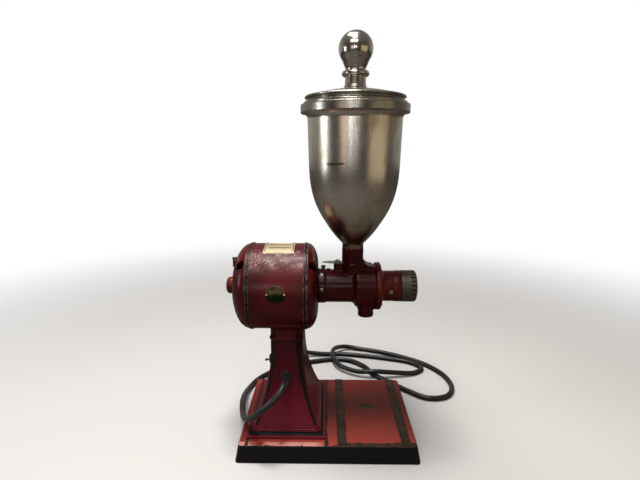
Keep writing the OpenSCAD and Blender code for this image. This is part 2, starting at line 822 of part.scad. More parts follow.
module badge() color(brass) difference() {
  intersection() {
    ring_x(badge_x - badge_w, badge_x + badge_w, motor_r + 1, motor_r);
    around_x(badge_a, motor_r - 20) translate([badge_x, 0, 0]) union() {
      intersection() {
        translate([0, -8, 0]) cylinder(h = 40, r = badge_h / 2 + 8);
        translate([0, 8, 0]) cylinder(h = 40, r = badge_h / 2 + 8);
      }
      for (s = [-1, 1]) translate([s * (badge_w / 2 - 1), 0, 0]) cylinder(h = 40, r = 3);
      translate([-badge_w / 2, -3, 0]) cube([badge_w, 6, 40]);
    }
  }
  plate_pin_places() cylinder(h = 10, r = 1 + fit, center = true);
}

module plate_pins() color(brass) plate_pin_places() {
  translate([0, 0, plate_t + 0.2]) cylinder(h = 1, r1 = 1.8, r2 = 1, $fn = 24);
  cylinder(h = plate_t + 0.3, r = 1, $fn = 24);
}

// ---- oilers
cup_h = 3;
cup_r = 5;
cup_stem_r = 3;
lid_gap = 0.2;
lid_pivot_x = cup_r + 1.2;
lid_plate_t = 1.6;
lid_barrel_l = 3.2;
oiler_z0 = axis_z + neck_r - 3;
neck_stem = 1.6;

module motor_oil_cup() color(brass) translate([oiler_x, 0, oiler_z]) {
  difference() {
    union() {
      cylinder(h = cup_h, r = cup_r);
      translate([0, 0, -8]) cylinder(h = 9, r = cup_stem_r);
    }
    translate([0, 0, 1]) cylinder(h = cup_h, r = cup_r - 1.5);
  }
  translate([-lid_pivot_x - 0.6, -1.6, 0]) cube([3, 3.2, cup_h]);
}

module motor_oil_lid() color(brass) translate([oiler_x, 0, oiler_z + cup_h + lid_gap]) {
  cylinder(h = lid_plate_t, r = cup_r);
  translate([-lid_pivot_x, -lid_barrel_l / 2, 0])
    cube([lid_pivot_x - cup_r + 2, lid_barrel_l, lid_plate_t]);
  translate([-lid_pivot_x, 0, lid_plate_t / 2]) rotate([90, 0, 0])
    cylinder(h = lid_barrel_l, r = lid_plate_t / 2, center = true, $fn = 24);
}

module neck_oiler() color(brass) translate([cup_x, 0, oiler_z0]) {
  translate([0, 0, -neck_stem]) cylinder(h = 12, r = cup_stem_r);
  translate([0, 0, 8.5]) cylinder(h = 4.5, r = cup_r);
  translate([0, 0, 2]) cylinder(h = 2.5, r = 4.6, $fn = 6);
}

module neck_plug() color(red) translate([cup_x + 11, 0, oiler_z0]) {
  translate([0, 0, -neck_stem]) cylinder(h = 5, r = cup_stem_r);
  translate([0, 0, 2]) cylinder(h = 3.5, r = 5);
}

// ---- mill body
module feed_tube_solid() {
  translate([feed_x, 0, axis_z]) cylinder(h = tube_z - axis_z, r = tube_r);
}

module mill_body() color(red) difference() {
  union() {
    along_x(neck_x0, chamber_x + 1, neck_r);
    along_x(neck_x0, neck_x0 + collar_l, collar_r);
    turned_x([[chamber_x - 8, 0], [chamber_x - 8, neck_r], [chamber_x - 4, neck_r + 1.5],
      [chamber_x - 1, neck_r + 5], [chamber_x, chamber_r - 3], [chamber_x + 2, chamber_r - 0.6],
      [chamber_x + 4, chamber_r], [cover_x - 4, chamber_r], [cover_x - 3, flange_r - 1],
      [cover_x - 2, flange_r], [cover_x, flange_r], [cover_x, 0]]);
    feed_tube_solid();
    // fillet between the feed tube and the chamber
    translate([feed_x, 0, 0]) intersection() {
      rotate([90, 0, 0]) linear_extrude(height = 2 * tube_r - 8, center = true)
        polygon(concat([[0, axis_z]],
          arc(tube_r + 18, axis_z + chamber_r + 22, 20, 180, 270, 8),
          [[cover_x - feed_x - 4, axis_z + chamber_r - 1], [cover_x - feed_x - 4, axis_z]]));
      translate([-tube_r, -base_w / 2, axis_z]) cube([base_w, base_w, 90]);
    }
    // boss that carries the feed gate's pivot
    translate([pivot_x, 0, axis_z]) cylinder(h = gate_under - fit - axis_z, r = pivot_boss_r);
    translate([pivot_x, -pivot_boss_r, axis_z])
      cube([feed_x - pivot_x, 2 * pivot_boss_r, gate_under - fit - axis_z]);
    // spout with its thicker upper part
    translate([spout_x, 0, spout_z]) cylinder(h = axis_z - spout_z, r = spout_r);
    translate([spout_x, 0, spout_z + 15]) cylinder(h = axis_z - spout_z - 15, r = spout_r + 1.8);
  }
  along_x(neck_x0 - 1, neck_x0 + spigot_l + 0.5, spigot_r);
  along_x(neck_x0, web_x1 + 1, bush_r + fit);
  along_x(web_x1, chamber_back_x + 1, worm_room_r);
  along_x(chamber_back_x, cover_x + 1, burr_room_r);
  translate([feed_x, 0, axis_z]) cylinder(h = tube_z - axis_z + 1, r = tube_bore_r);
  translate([spout_x, 0, spout_z - 1]) cylinder(h = axis_z - spout_z, r = spout_bore_r);
  gate_slot();
  for (a = neck_screw_angles) around_x(a, spigot_r - 1) translate([neck_screw_x, 0, 0])
    cylinder(h = 20, r = screw_r + fit);
  cover_screw_places() translate([-9, 0, 0]) rotate([0, 90, 0])
    cylinder(h = 10, r = screw_r + fit);
  burr_screw_places() translate([-8, 0, 0]) rotate([0, 90, 0])
    cylinder(h = 9, r = screw_r + fit);
  for (x = [cup_x, cup_x + 11]) translate([x, 0, oiler_z0 - neck_stem - 0.2])
    cylinder(h = 20, r = cup_stem_r + fit);
  // flat on the neck under the plug's and the oiler's heads
  translate([cup_x - 6, -6, oiler_z0 + 2]) cube([23, 12, 10]);
  translate([pivot_x, 0, gate_z - 18]) cylinder(h = 20, r = pivot_bolt_r + fit);
  // recess that holds the neck of the hopper
  translate([feed_x, 0, tube_z - hopper_seat]) cylinder(h = hopper_seat + 1,
    r = hopper_spigot_r + fit);
}

// the space that the gate's blade and arm sweep through the tube's wall
module gate_slot() {
  h = gate_t + 2 * slide_gap;
  translate([pivot_x, 0, gate_z - h / 2]) linear_extrude(height = h)
    for (a = [-2 : 6 : gate_open + 4]) rotate(a) {
      translate([feed_x - pivot_x, 0]) circle(r = blade_r + slide_gap);
      translate([0, -pivot_boss_r - 0.5]) square([feed_x - pivot_x, 2 * pivot_boss_r + 1]);
    }
}

module cover_screw_places() {
  for (a = [0, 90, 180, 270]) around_x(a + 45, cover_screw_pcr)
    translate([cover_x, 0, 0]) children();
}

module burr_screw_places() {
  for (a = [30, 150, 270]) around_x(a, burr_screw_r)
    translate([chamber_back_x, 0, 0]) children();
}

module neck_bush() color(bronze)
  ring_x(web_x0 + 1, web_x0 + 1 + neck_bush_l, bush_r, shaft_r + running);

module round_head_screw(l) {
  translate([0, 0, -l]) cylinder(h = l + eps, r = screw_r);
  rotate_extrude() polygon([[0, 0], [screw_head_r, 0], [screw_head_r - 0.6, 1.2],
    [screw_head_r - 1.8, 2], [0, 2.2]]);
}

module neck_screws() color(steel) for (a = neck_screw_angles)
  around_x(a, collar_r) translate([neck_screw_x, 0, 0]) round_head_screw(neck_screw_l);

// ---- what turns in the mill
module feed_worm() color(steel) {
  x0 = web_x1 + 1.6;
  l = chamber_back_x - x0 - 0.5;
  translate([x0, 0, axis_z]) rotate([0, 90, 0]) difference() {
    union() {
      cylinder(h = l, r = worm_core_r);
      linear_extrude(height = l, twist = -360 * l / worm_pitch, slices = 18, $fn = 24)
        translate([0, -worm_wall / 2]) square([worm_r, worm_wall]);
    }
    translate([0, 0, -1]) cylinder(h = l + 2, r = shaft_r + fit);
  }
}

module burr(x0, hole_r, dir) {
  difference() {
    ring_x(x0, x0 + burr_t, burr_r, hole_r);
    for (i = [0 : 17]) around_x(i * 20, hole_r + 2) translate([dir > 0 ? x0 - 1 : x0 + burr_t - 1.5,
      0, 0]) rotate([0, 0, 12]) translate([0, -0.9, 0]) cube([2.5, 1.8, 40]);
  }
}

module fixed_burr() color(steel) difference() {
  burr(chamber_back_x, burr_bore_r, -1);
  burr_screw_places() rotate([0, 90, 0]) translate([0, 0, -1]) cylinder(h = burr_t + 2,
    r = screw_r + fit);
  burr_screw_places() rotate([0, 90, 0]) translate([0, 0, burr_t - 4])
    cylinder(h = 6, r = screw_head_r + 0.3);
}

module burr_screws() color(steel) burr_screw_places() rotate([0, 90, 0]) {
  translate([0, 0, -7]) cylinder(h = burr_t - 4 + 7 + eps, r = screw_r);
  translate([0, 0, burr_t - 4]) cylinder(h = screw_head_h, r = screw_head_r);
}

module rotating_burr() color(steel) burr(turning_x0, stub_r + fit, 1);

module burr_nut() color(steel) difference() {
  translate([turning_x1, 0, axis_z]) rotate([0, 90, 0])
    cylinder(h = burr_nut_t, r = burr_nut_r, $fn = 6);
  along_x(turning_x1 - 1, turning_x1 + burr_nut_t + 1, stub_r + fit);
}

module thrust_ball() color(steel)
  translate([shaft_x1 + ball_bearing_r + 0.05, 0, axis_z]) sphere(r = ball_bearing_r);

// the plunger that the adjusting ring pushes against the ball and the shaft
module thrust_plunger() color(steel) {
  along_x(plunger_x0, cover_x1 - 6, plunger_r);
  along_x(cover_x1 - 6 - eps, ring_x1 - ring_face_t, ring_hub_r);
}

module chamber_cover() color(red) difference() {
  turned_x(concat(
    [[cover_x, 0], [cover_x, flange_r]],
    arc(cover_x + 5, flange_r - 4, 4.5, 100, 0, 8),
    [[cover_x + flange_t, nose_r + 4], [cover_x + flange_t + 3, nose_r + 1],
     [cover_x + flange_t + 5, nose_r], [cover_x1 - 12, nose_r], [cover_x1 - 11, nose_r + 0.7],
     [cover_x1, nose_r + 0.7], [cover_x1, 0]]
  ));
  along_x(cover_x - 1, turning_x1 + burr_nut_t + 10, burr_room_r - 7);
  along_x(cover_x, cover_x1 + 1, nose_bore_r);
  // groove that the adjusting ring's sleeve screws into
  ring_x(ring_sleeve_x0 - 2, cover_x1 + 1, sleeve_r + running, sleeve_in_r - running);
  cover_screw_places() translate([-1, 0, 0]) rotate([0, 90, 0])
    cylinder(h = flange_t + 2, r = screw_r + fit);
  cover_screw_places() translate([flange_t - 1.5, 0, 0]) rotate([0, 90, 0])
    cylinder(h = 20, r = screw_head_r + 0.2);
  translate([lock_x, 0, 0]) lock_screw_place() cylinder(h = nose_r, r = screw_r + fit);
}

ring_sleeve_l = 14;
ring_sleeve_x0 = cover_x1 - ring_sleeve_l;
lock_x = cover_x1 - 22;
module lock_screw_place() around_x(186, nose_bore_r) children();

module lock_screw() color(nickel) translate([lock_x, 0, 0]) lock_screw_place() {
  cylinder(h = nose_r - nose_bore_r, r = screw_r);
  translate([0, 0, nose_r - nose_bore_r]) cylinder(h = 2, r = 4.2);
}

module cover_screws() color(steel) cover_screw_places() rotate([0, 90, 0]) {
  translate([0, 0, -8]) cylinder(h = 8 + flange_t - 1.5, r = screw_r);
  translate([0, 0, flange_t - 1.5]) cylinder(h = 2.5, r = screw_head_r);
}

module adjusting_ring() color(brass) difference() {
  union() {
    turned_x([[ring_x0, sleeve_in_r], [ring_x0, ring_r - 0.6], [ring_x0 + 0.6, ring_r],
      [ring_x1 - 2.5, ring_r], [ring_x1, ring_r - 2.5], [ring_x1, 0],
      [ring_x1 - ring_face_t, 0], [ring_x1 - ring_face_t, sleeve_in_r]]);
    ring_x(ring_sleeve_x0, ring_x0 + 1, sleeve_r, sleeve_in_r);
  }
  for (i = [0 : ring_notches - 1]) around_x(i * 360 / ring_notches, ring_r - notch_d)
    translate([ring_x1 - notch_l, -notch_w / 2, 0]) cube([notch_l + 1, notch_w, 5]);
}

// ---- feed gate: a leaf that swings through a slot in the feed tube
module feed_gate() color(nickel) translate([pivot_x, 0, gate_under])
  linear_extrude(height = gate_t) difference() {
    union() {
      translate([feed_x - pivot_x, 0]) circle(r = blade_r);
      translate([0, -pivot_boss_r]) square([feed_x - pivot_x, 2 * pivot_boss_r]);
      circle(r = pivot_boss_r);
      polygon([[gate_tip_x - pivot_x, 0], [gate_tip_x - pivot_x + 8, -3.5],
        [-16, -8.5], [-10, -9.5], [-2, -pivot_boss_r + 0.4], [-2, pivot_boss_r - 0.4],
        [-10, 9.5], [-16, 8.5], [gate_tip_x - pivot_x + 8, 3.5]]);
    }
    circle(r = pivot_bolt_r + fit);
  }

module gate_pivot() color(steel) translate([pivot_x, 0, gate_under]) {
  translate([0, 0, -15]) cylinder(h = 15 + gate_t + 0.2, r = pivot_bolt_r);
  translate([0, 0, gate_t + 0.1]) cylinder(h = 1, r = 7);
  translate([0, 0, gate_t + 1]) cylinder(h = 3.5, r = 5.2, $fn = 6);
}

// ---- hopper
// radius of the bowl's outside at a height
function bowl(z) = let (u = (hopper_side_z - z) / (hopper_side_z - hopper_neck_z))
  hopper_neck_r + (hopper_r - hopper_neck_r) * (1 - u * u);

rim_z0 = hopper_top_z - rim_h;
rim_room_r = band_r - 2.2;
bowl_zs = [for (i = [0 : hopper_steps])
  hopper_neck_z + (hopper_side_z - hopper_neck_z) * i / hopper_steps];

module hopper() color(nickel) {
  flare_r = rim_room_r - fit;
  turned_z(concat(
    [[tube_bore_r, tube_z - hopper_seat], [hopper_spigot_r, tube_z - hopper_seat],
     [hopper_spigot_r, tube_z], [hopper_neck_r, tube_z]],
    [for (z = bowl_zs) [bowl(z), z]],
    [[hopper_top_r, rim_z0 - 8], [hopper_top_r + 3, rim_z0 - 3], [flare_r, rim_z0 + 1],
     [flare_r, hopper_top_z - 2.5], [flare_r - hopper_wall, hopper_top_z - 2.5],
     [flare_r - hopper_wall, rim_z0 + 2],
     [hopper_top_r + 2, rim_z0 - 2], [hopper_top_r - hopper_wall, rim_z0 - 7]],
    [for (i = [hopper_steps : -1 : 0]) let (z = bowl_zs[i])
      if (bowl(z) - hopper_wall * 1.2 > tube_bore_r) [bowl(z) - hopper_wall * 1.2,
        z + (i < 6 ? 1.2 : 0)]],
    [[tube_bore_r, hopper_neck_z]]
  ));
}

module hopper_rim() color(nickel) turned_z([
  [rim_room_r, rim_z0], [band_r - 0.8, rim_z0], [band_r, rim_z0 + 1],
  [band_r, hopper_top_z - 1.2], [band_r - 1.2, hopper_top_z], [lid_r - 6, hopper_top_z],
  [lid_r - 6, hopper_top_z - 2], [rim_room_r, hopper_top_z - 2],
]);

lid_outer = [
  [lid_r, seat_z], [lid_r, seat_z + lid_rim_h], [lid_r - 5, seat_z + lid_rim_h + 2],
  [lid_r - 6, seat_z + 8.5], [lid_r - 4.5, seat_z + 11.5], [lid_r - 2.4, seat_z + 12.5],
  [lid_r - 2, seat_z + 14.5], [lid_r - 4, seat_z + 16.2], [lid_r - 10, seat_z + 17.4],
  [lid_r - 24, seat_z + 20.6], [lid_r - 44, seat_z + 25], [knob_foot_r + 14, seat_z + 28.6],
  [knob_foot_r + 2, lid_top_z],
];

module hopper_lid() color(nickel) difference() {
  turned_z(concat(lid_outer, [[0, lid_top_z], [0, lid_top_z - lid_t - 1]],
    [for (i = [len(lid_outer) - 1 : -1 : 3]) [lid_outer[i][0] - lid_t, lid_outer[i][1] - lid_t]],
    [[lid_r - 6.5 - lid_t, seat_z + 4], [lid_r - 6.5 - lid_t, seat_z - 6],
     [lid_r - 6.5, seat_z - 6], [lid_r - 6.5, seat_z]]));
  translate([feed_x, 0, lid_top_z - 10]) cylinder(h = 20, r = stud_r + fit);
}

module lid_knob() color(nickel) {
  stem_z1 = lid_top_z + stem_l;
  ball_low = acos(stem_r / ball_r);
  difference() {
    turned_z(concat(
      [[0, lid_top_z], [knob_foot_r, lid_top_z], [knob_foot_r - 0.4, lid_top_z + 2],
       [stem_r, lid_top_z + 5], [stem_r, stem_z1 - 1], [stem_r + 3, stem_z1],
       [knob_ring_r - 1, stem_z1 + 1.5], [knob_ring_r, stem_z1 + 4],
       [knob_ring_r, stem_z1 + 14], [knob_ring_r - 1, stem_z1 + 17],
       [stem_r + 3, stem_z1 + 19], [stem_r, stem_z1 + 21], [stem_r - 0.4, neck_top_z]],
      arc(0, ball_z, ball_r, -ball_low, 90, 24)
    ));
    translate([feed_x, 0, lid_top_z - 1]) cylinder(h = 31, r = stud_r + fit);
  }
}

module knob_stud() color(steel) translate([feed_x, 0, 0]) {
  translate([0, 0, lid_top_z - lid_t - 9]) cylinder(h = 36, r = stud_r);
  translate([0, 0, lid_top_z - lid_t - 7]) cylinder(h = 6, r = 8, $fn = 6);
}

// ---- power cord and plug
function along(a, b, c, d, t) =
  0.5 * (2 * b + (c - a) * t + (2 * a - 5 * b + 4 * c - d) * t * t
    + (3 * b - a - 3 * c + d) * t * t * t);

last = len(route) - 1;
path = concat([for (i = [0 : last - 1], t = [0, 0.5])
  along(i == 0 ? 2 * route[0] - route[1] : route[i - 1], route[i], route[i + 1],
    i == last - 1 ? 2 * route[last] - route[last - 1] : route[i + 2], t)], [route[last]]);

function unit(v) = v / norm(v);
function heading(i) = i == 0 ? [0, -1, 0]
  : i == len(path) - 1 ? [-1, 0, 0] : unit(path[i + 1] - path[i - 1]);

module power_cord() color(rubber) {
  sides = 10;
  rings = [for (i = [0 : len(path) - 1]) let (
      h = heading(i),
      s = unit(cross(h, abs(h[2]) > 0.9 ? [1, 0, 0] : [0, 0, 1])),
      u = cross(s, h))
    [for (j = [0 : sides - 1]) path[i] + cord_r * (cos(j * 360 / sides) * s
      + sin(j * 360 / sides) * u)]];
  n = len(rings);
  polyhedron(
    points = [for (r = rings) each r],
    faces = concat([[for (j = [0 : sides - 1]) j]],
      [for (i = [0 : n - 2], j = [0 : sides - 1])
        let (a = i * sides, k = (j + 1) % sides, b = a + sides) each
        [[a + j, b + j, b + k], [a + j, b + k, a + k]]],
      [[for (j = [sides - 1 : -1 : 0]) (n - 1) * sides + j]])
  );
}

module plug_body() color(rubber) translate(plug_from) rotate([0, -90, 0]) {
  rotate_extrude() polygon([[0, 0], [9, 0], [9, 8], [11, 14], [plug_r, 26],
    [plug_r, plug_l - 1], [plug_r - 1, plug_l], [0, plug_l]]);
}

module plug_pins() color(nickel) translate(plug_from) rotate([0, -90, 0])
  for (s = [-1, 1]) translate([0, s * pin_apart / 2, plug_l]) {
    cylinder(h = pin_l - 1, r = pin_r, $fn = 32);
    translate([0, 0, pin_l - 1 - eps]) cylinder(h = 1, r1 = pin_r, r2 = pin_r - 0.8,
      $fn = 32);
  }

base_casting();
base_pad();
bottom_cover();
bottom_screws();
column_casting();
column_bolts();
motor_bolts();
motor_housing();
end_bell_left();
end_bell_right();
tie_rods();
tie_rod_nuts();
bush_left();
bush_right();
bearing_cap();
stator_core();
stator_winding();
rotor_core();
cooling_fan();
drive_shaft();
nameplate();
badge();
plate_pins();
terminal_block();
cord_tail();
cord_gland();
switch_body();
switch_lever();
motor_oil_cup();
motor_oil_lid();
neck_oiler();
neck_plug();
mill_body();
neck_bush();
neck_screws();
feed_worm();
fixed_burr();
burr_screws();
rotating_burr();
burr_nut();
thrust_ball();
thrust_plunger();
chamber_cover();
cover_screws();
lock_screw();
adjusting_ring();
feed_gate();
gate_pivot();
hopper();
hopper_rim();
hopper_lid();
lid_knob();
knob_stud();
power_cord();
plug_body();
plug_pins();
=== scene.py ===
# %% [markdown]
# # Dressing a shop counter coffee mill
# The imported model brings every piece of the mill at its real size. This lesson gives
# those pieces their looks: cast iron under worn red enamel, old nickel plate, tarnished
# brass and a heavy rubber cord. Each step says what the piece is on the real mill, how
# it could be made in Blender, and why it is made this way.

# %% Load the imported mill
import json
import math

import bmesh
import bpy
import numpy as np
from mathutils import Matrix, Vector

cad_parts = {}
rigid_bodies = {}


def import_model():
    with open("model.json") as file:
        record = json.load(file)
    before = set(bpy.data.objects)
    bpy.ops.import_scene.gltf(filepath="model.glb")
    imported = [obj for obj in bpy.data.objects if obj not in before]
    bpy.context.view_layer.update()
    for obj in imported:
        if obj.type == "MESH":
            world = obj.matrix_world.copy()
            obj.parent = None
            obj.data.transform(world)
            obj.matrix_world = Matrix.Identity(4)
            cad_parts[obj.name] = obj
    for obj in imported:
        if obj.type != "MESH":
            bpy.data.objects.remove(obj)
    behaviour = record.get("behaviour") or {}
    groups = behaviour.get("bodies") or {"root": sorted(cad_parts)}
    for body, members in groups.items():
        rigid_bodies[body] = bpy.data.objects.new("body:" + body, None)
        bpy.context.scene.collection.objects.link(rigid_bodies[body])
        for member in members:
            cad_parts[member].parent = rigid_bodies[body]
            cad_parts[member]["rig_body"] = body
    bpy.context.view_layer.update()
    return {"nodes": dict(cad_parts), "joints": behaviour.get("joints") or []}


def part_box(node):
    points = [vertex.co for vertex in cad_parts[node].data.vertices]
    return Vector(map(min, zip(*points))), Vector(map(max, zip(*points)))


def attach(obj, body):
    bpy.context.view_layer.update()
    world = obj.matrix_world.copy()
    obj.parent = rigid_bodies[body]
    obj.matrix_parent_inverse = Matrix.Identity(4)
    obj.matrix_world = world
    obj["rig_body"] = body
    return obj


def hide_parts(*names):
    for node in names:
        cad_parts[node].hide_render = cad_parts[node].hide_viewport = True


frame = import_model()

MM = 0.001
print("packed pieces:", len(frame["nodes"]))

# %% [markdown]
# ## Sizes that the pieces share
# Blender works in metres and the mill was drawn in millimetres. So that a size reads as
# it would on a drawing, every outline below is in millimetres, and it is scaled once,
# when the mesh is made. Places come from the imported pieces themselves.

# %% Places read from the frame
def box_mm(node):
    """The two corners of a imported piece, in mm."""
    low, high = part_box(node)
    return low / MM, high / MM


spin = next(j for j in frame["joints"] if j["name"] == "rotor_spin")
shaft_z = spin["pos_m"][2] / MM
deck_z = box_mm("column_casting")[0].z
column_top = box_mm("column_casting")[1].z
barrel_r = box_mm("motor_housing")[1].y
barrel_x0, barrel_x1 = box_mm("motor_housing")[0].x, box_mm("motor_housing")[1].x
base_w = box_mm("base_casting")[1].x * 2
base_d = box_mm("base_casting")[1].y * 2
hopper_low, hopper_high = box_mm("hopper")
feed_x = (hopper_low.x + hopper_high.x) / 2
column_x = box_mm("terminal_block")[0].x + 12
print(f"shaft {shaft_z:.0f} mm up, barrel radius {barrel_r:.0f}, feed at x {feed_x:.0f}")

# %% [markdown]
# ## Camera, floor and light
# The camera stands a little above the counter, to the left of the mill's middle, and
# looks slightly down. A wide lens close by gives the strong look-down on the deck and
# the look-up under the lid. The floor is plain, and for the camera it fades to white far
# away, so that no horizon cuts the picture. Light and reflections meet a darker floor,
# as on an oak counter, or the underside of the hopper would glow.

# %% Camera
def placed(name, data):
    """A new object for the data, linked to the scene."""
    thing = bpy.data.objects.new(name, data)
    bpy.context.scene.collection.objects.link(thing)
    return thing


camera = placed("camera", bpy.data.cameras.new("camera"))
bpy.context.scene.camera = camera
FOCAL_PX, FRAME_PX, SENSOR = 420.0, 640.0, 36.0
camera.data.sensor_width = SENSOR
camera.data.lens = FOCAL_PX / FRAME_PX * SENSOR
camera.location = (-0.005, -0.865, 0.611)
camera.rotation_euler = (math.radians(90 - 11.77), 0.0, math.radians(0.8))
camera.data.clip_start = 0.02
print(f"lens {camera.data.lens:.1f} mm")

# %% [markdown]
# A shader is easier to read as arithmetic than as a web of nodes. This small class holds
# one output socket. Its operators add Math nodes, and `make` adds any other node, with
# its settings first and its sockets after.

# %% One class for shader arithmetic
class Lead:
    """One output socket of a node tree, with arithmetic."""

    def __init__(self, tree, socket=None):
        self.tree, self.socket = tree, socket

    def make(self, kind, settings=None, sockets=None, out=0):
        node = self.tree.nodes.new(kind)
        for key, value in (settings or {}).items():
            setattr(node, key, value)
        for key, value in (sockets or {}).items():
            if isinstance(value, Lead):
                self.tree.links.new(value.socket, node.inputs[key])
            else:
                node.inputs[key].default_value = value
        return Lead(self.tree, node.outputs[out] if node.outputs else None)

    def maths(self, operation, a, b):
        return self.make("ShaderNodeMath", {"operation": operation}, {0: a, 1: b})

    def __add__(self, other):
        return self.maths("ADD", self, other)

    def __sub__(self, other):
        return self.maths("SUBTRACT", self, other)

    def __rsub__(self, other):
        return self.maths("SUBTRACT", other, self)

    def __mul__(self, other):
        return self.maths("MULTIPLY", self, other)

    def __truediv__(self, other):
        return self.maths("DIVIDE", self, other)

    __radd__, __rmul__ = __add__, __mul__

# %% Shader words used by every finish
def colour(r, g, b):
    return (r, g, b, 1.0)


def shade(tone, factor):
    """A darker or lighter kind of the same colour."""
    return colour(*(min(1.0, c * factor) for c in tone))


def mixed(mask, a, b):
    """Colour a where the mask is 0 and b where it is 1."""
    return mask.make("ShaderNodeMix", {"data_type": "RGBA"}, {0: mask, 6: a, 7: b}, out=2)


def step(value, low, high):
    """0 below low, 1 above high, smooth between."""
    return value.make("ShaderNodeMapRange", {"interpolation_type": "SMOOTHSTEP"},
                      {"Value": value, "From Min": low, "From Max": high})


def noise_at(place, scale, detail=3.0, rough=0.55, stretch=None, seed=0.0):
    """Noise between 0 and 1. The scale is in bumps per metre."""
    if stretch:
        place = place.make("ShaderNodeMapping", {}, {"Vector": place, "Scale": stretch})
    return place.make("ShaderNodeTexNoise", {"noise_dimensions": "4D"},
                      {"Vector": place, "W": seed, "Scale": scale, "Detail": detail,
                       "Roughness": rough})


def parts_of(vector):
    """The x, y and z of a vector as three leads."""
    split = vector.make("ShaderNodeSeparateXYZ", {}, {0: vector})
    return [Lead(vector.tree, plug) for plug in split.socket.node.outputs]


def on_mesh(place, name):
    """The value that the mesh carries under this name."""
    return place.make("ShaderNodeAttribute", {"attribute_name": name}, out=2)


def new_material(name):
    """A material with its Principled shader, and the lead of Object coordinates."""
    material = bpy.data.materials.new(name)
    material.use_nodes = True
    tree = material.node_tree
    shader = tree.nodes["Principled BSDF"]
    place = Lead(tree).make("ShaderNodeTexCoord", out=3)
    return material, shader, place


def plug_in(shader, **values):
    """Sets or links sockets of the shader: plug_in(shader, Base_Color=lead)."""
    tree = shader.id_data
    for key, value in values.items():
        socket = shader.inputs[key.replace("_", " ")]
        if isinstance(value, Lead):
            tree.links.new(value.socket, socket)
        else:
            socket.default_value = value


def bump(height, distance_mm, strength):
    """A slightly uneven face, without a change of shape."""
    return height.make("ShaderNodeBump", {}, {"Height": height, "Strength": strength,
                                              "Distance": distance_mm * MM})

# %% Floor that fades to white
floor_r, fade_from, fade_to = 12.0, 0.75, 2.2  # metres
bpy.ops.mesh.primitive_circle_add(vertices=96, radius=floor_r, fill_type="NGON")
floor = bpy.context.object
floor.name = "floor"
floor_material, floor_shader, floor_place = new_material("pale floor")
floor_tree = floor_material.node_tree
ways = floor_place.make("ShaderNodeVectorMath", {"operation": "LENGTH"}, {0: floor_place}, out=1)
far = step(ways, fade_from, fade_to)
seen = Lead(floor_tree).make("ShaderNodeLightPath", out=0)
plug_in(floor_shader, Roughness=0.7,
        Base_Color=mixed(seen, colour(0.15, 0.14, 0.125), colour(0.78, 0.77, 0.75)))
white = Lead(floor_tree).make("ShaderNodeEmission", {}, {"Color": colour(1, 1, 1)})
floor_mix = far.make("ShaderNodeMixShader", {}, {0: far * seen})
floor_node = floor_mix.socket.node
floor_tree.links.new(floor_shader.outputs[0], floor_node.inputs[1])
floor_tree.links.new(white.socket, floor_node.inputs[2])
floor_out = next(n for n in floor_tree.nodes if n.type == "OUTPUT_MATERIAL")
floor_tree.links.new(floor_mix.socket, floor_out.inputs[0])
floor.data.materials.append(floor_material)

# %% [markdown]
# The world is a plain room: bright behind the mill, greyer overhead and dim behind the
# camera. The nickel shows that as a pale rim and a darker middle, as polished metal does
# in any real room. What the camera sees directly is plain white.

# %% World
world = bpy.data.worlds.new("studio")
bpy.context.scene.world = world
world.use_nodes = True
world_tree = world.node_tree
world_tree.nodes.clear()
sky = Lead(world_tree).make("ShaderNodeTexCoord", out=0)
away, up = parts_of(sky)[1:]
behind = step(away, -0.35, 0.75)
above = step(up, 0.15, 0.95)
room = mixed(behind, colour(0.062, 0.052, 0.043), colour(0.42, 0.405, 0.375))
room = mixed(above, room, colour(0.17, 0.165, 0.16))
straight = Lead(world_tree).make("ShaderNodeLightPath", out=0)
backdrop = mixed(straight, room, colour(1, 1, 1))
light = backdrop.make("ShaderNodeBackground", {}, {0: backdrop, 1: 1.0})
light.make("ShaderNodeOutputWorld", {}, {0: light})

# %% [markdown]
# The lamps are flat panels that stand for the ceiling, the windows and the walls. The
# ceiling ones light the whole mill. The low ones matter for the nickel, which shows each
# as an upright strip, so their place and width count for more than their power.

# %% Lamps
LAMPS = {  # place, width and height in metres, watts, tint
    "ceiling": ((-0.30, -0.10, 2.2), (1.5, 0.42), 21.0, (1.0, 0.97, 0.95)),
    "skylight": ((-0.08, 0.02, 2.2), (0.26, 0.30), 17.0, (1.0, 0.98, 0.96)),
    "ceiling in front": ((-0.35, -1.25, 1.9), (1.3, 0.5), 7.0, (1.0, 0.97, 0.95)),
    "left window": ((-1.7, -0.34, 0.72), (0.27, 0.54), 5.0, (0.90, 0.96, 1.0)),
    "front window a": ((-0.42, -2.13, 0.86), (0.11, 0.42), 2.4, (0.93, 0.97, 1.0)),
    "front window b": ((0.06, -2.19, 0.88), (0.08, 0.34), 1.5, (0.93, 0.97, 1.0)),
    "brown wall": ((-0.95, -1.90, 0.78), (0.60, 0.7), 1.6, (1.0, 0.80, 0.66)),
    "warm wall": ((1.8, -1.28, 0.62), (1.9, 1.1), 3.9, (1.0, 0.80, 0.55)),
}
middle = Vector((-0.02, 0.0, 0.42))
for name, (place, size, watts, tint) in LAMPS.items():
    data = bpy.data.lights.new(name, "AREA")
    data.shape, data.size, data.size_y = "RECTANGLE", size[0], size[1]
    data.energy, data.color = watts, tint
    panel = placed(name, data)
    panel.location = place
    panel.rotation_euler = (middle - Vector(place)).to_track_quat("-Z", "Y").to_euler()
bpy.context.scene.view_settings.view_transform = "Standard"
print("lamps:", len(LAMPS))

# %% [markdown]
# ## The power cord
# A free cord is one smooth curve. It could be a swept mesh, but a curve with a round
# bevel keeps its own centreline, so its length can be measured. The route leaves the
# gland, drops in a loop in front of the base, runs round the back of the mill, and lies
# there in the loops in which it was dropped. The points are the centre of the cord.

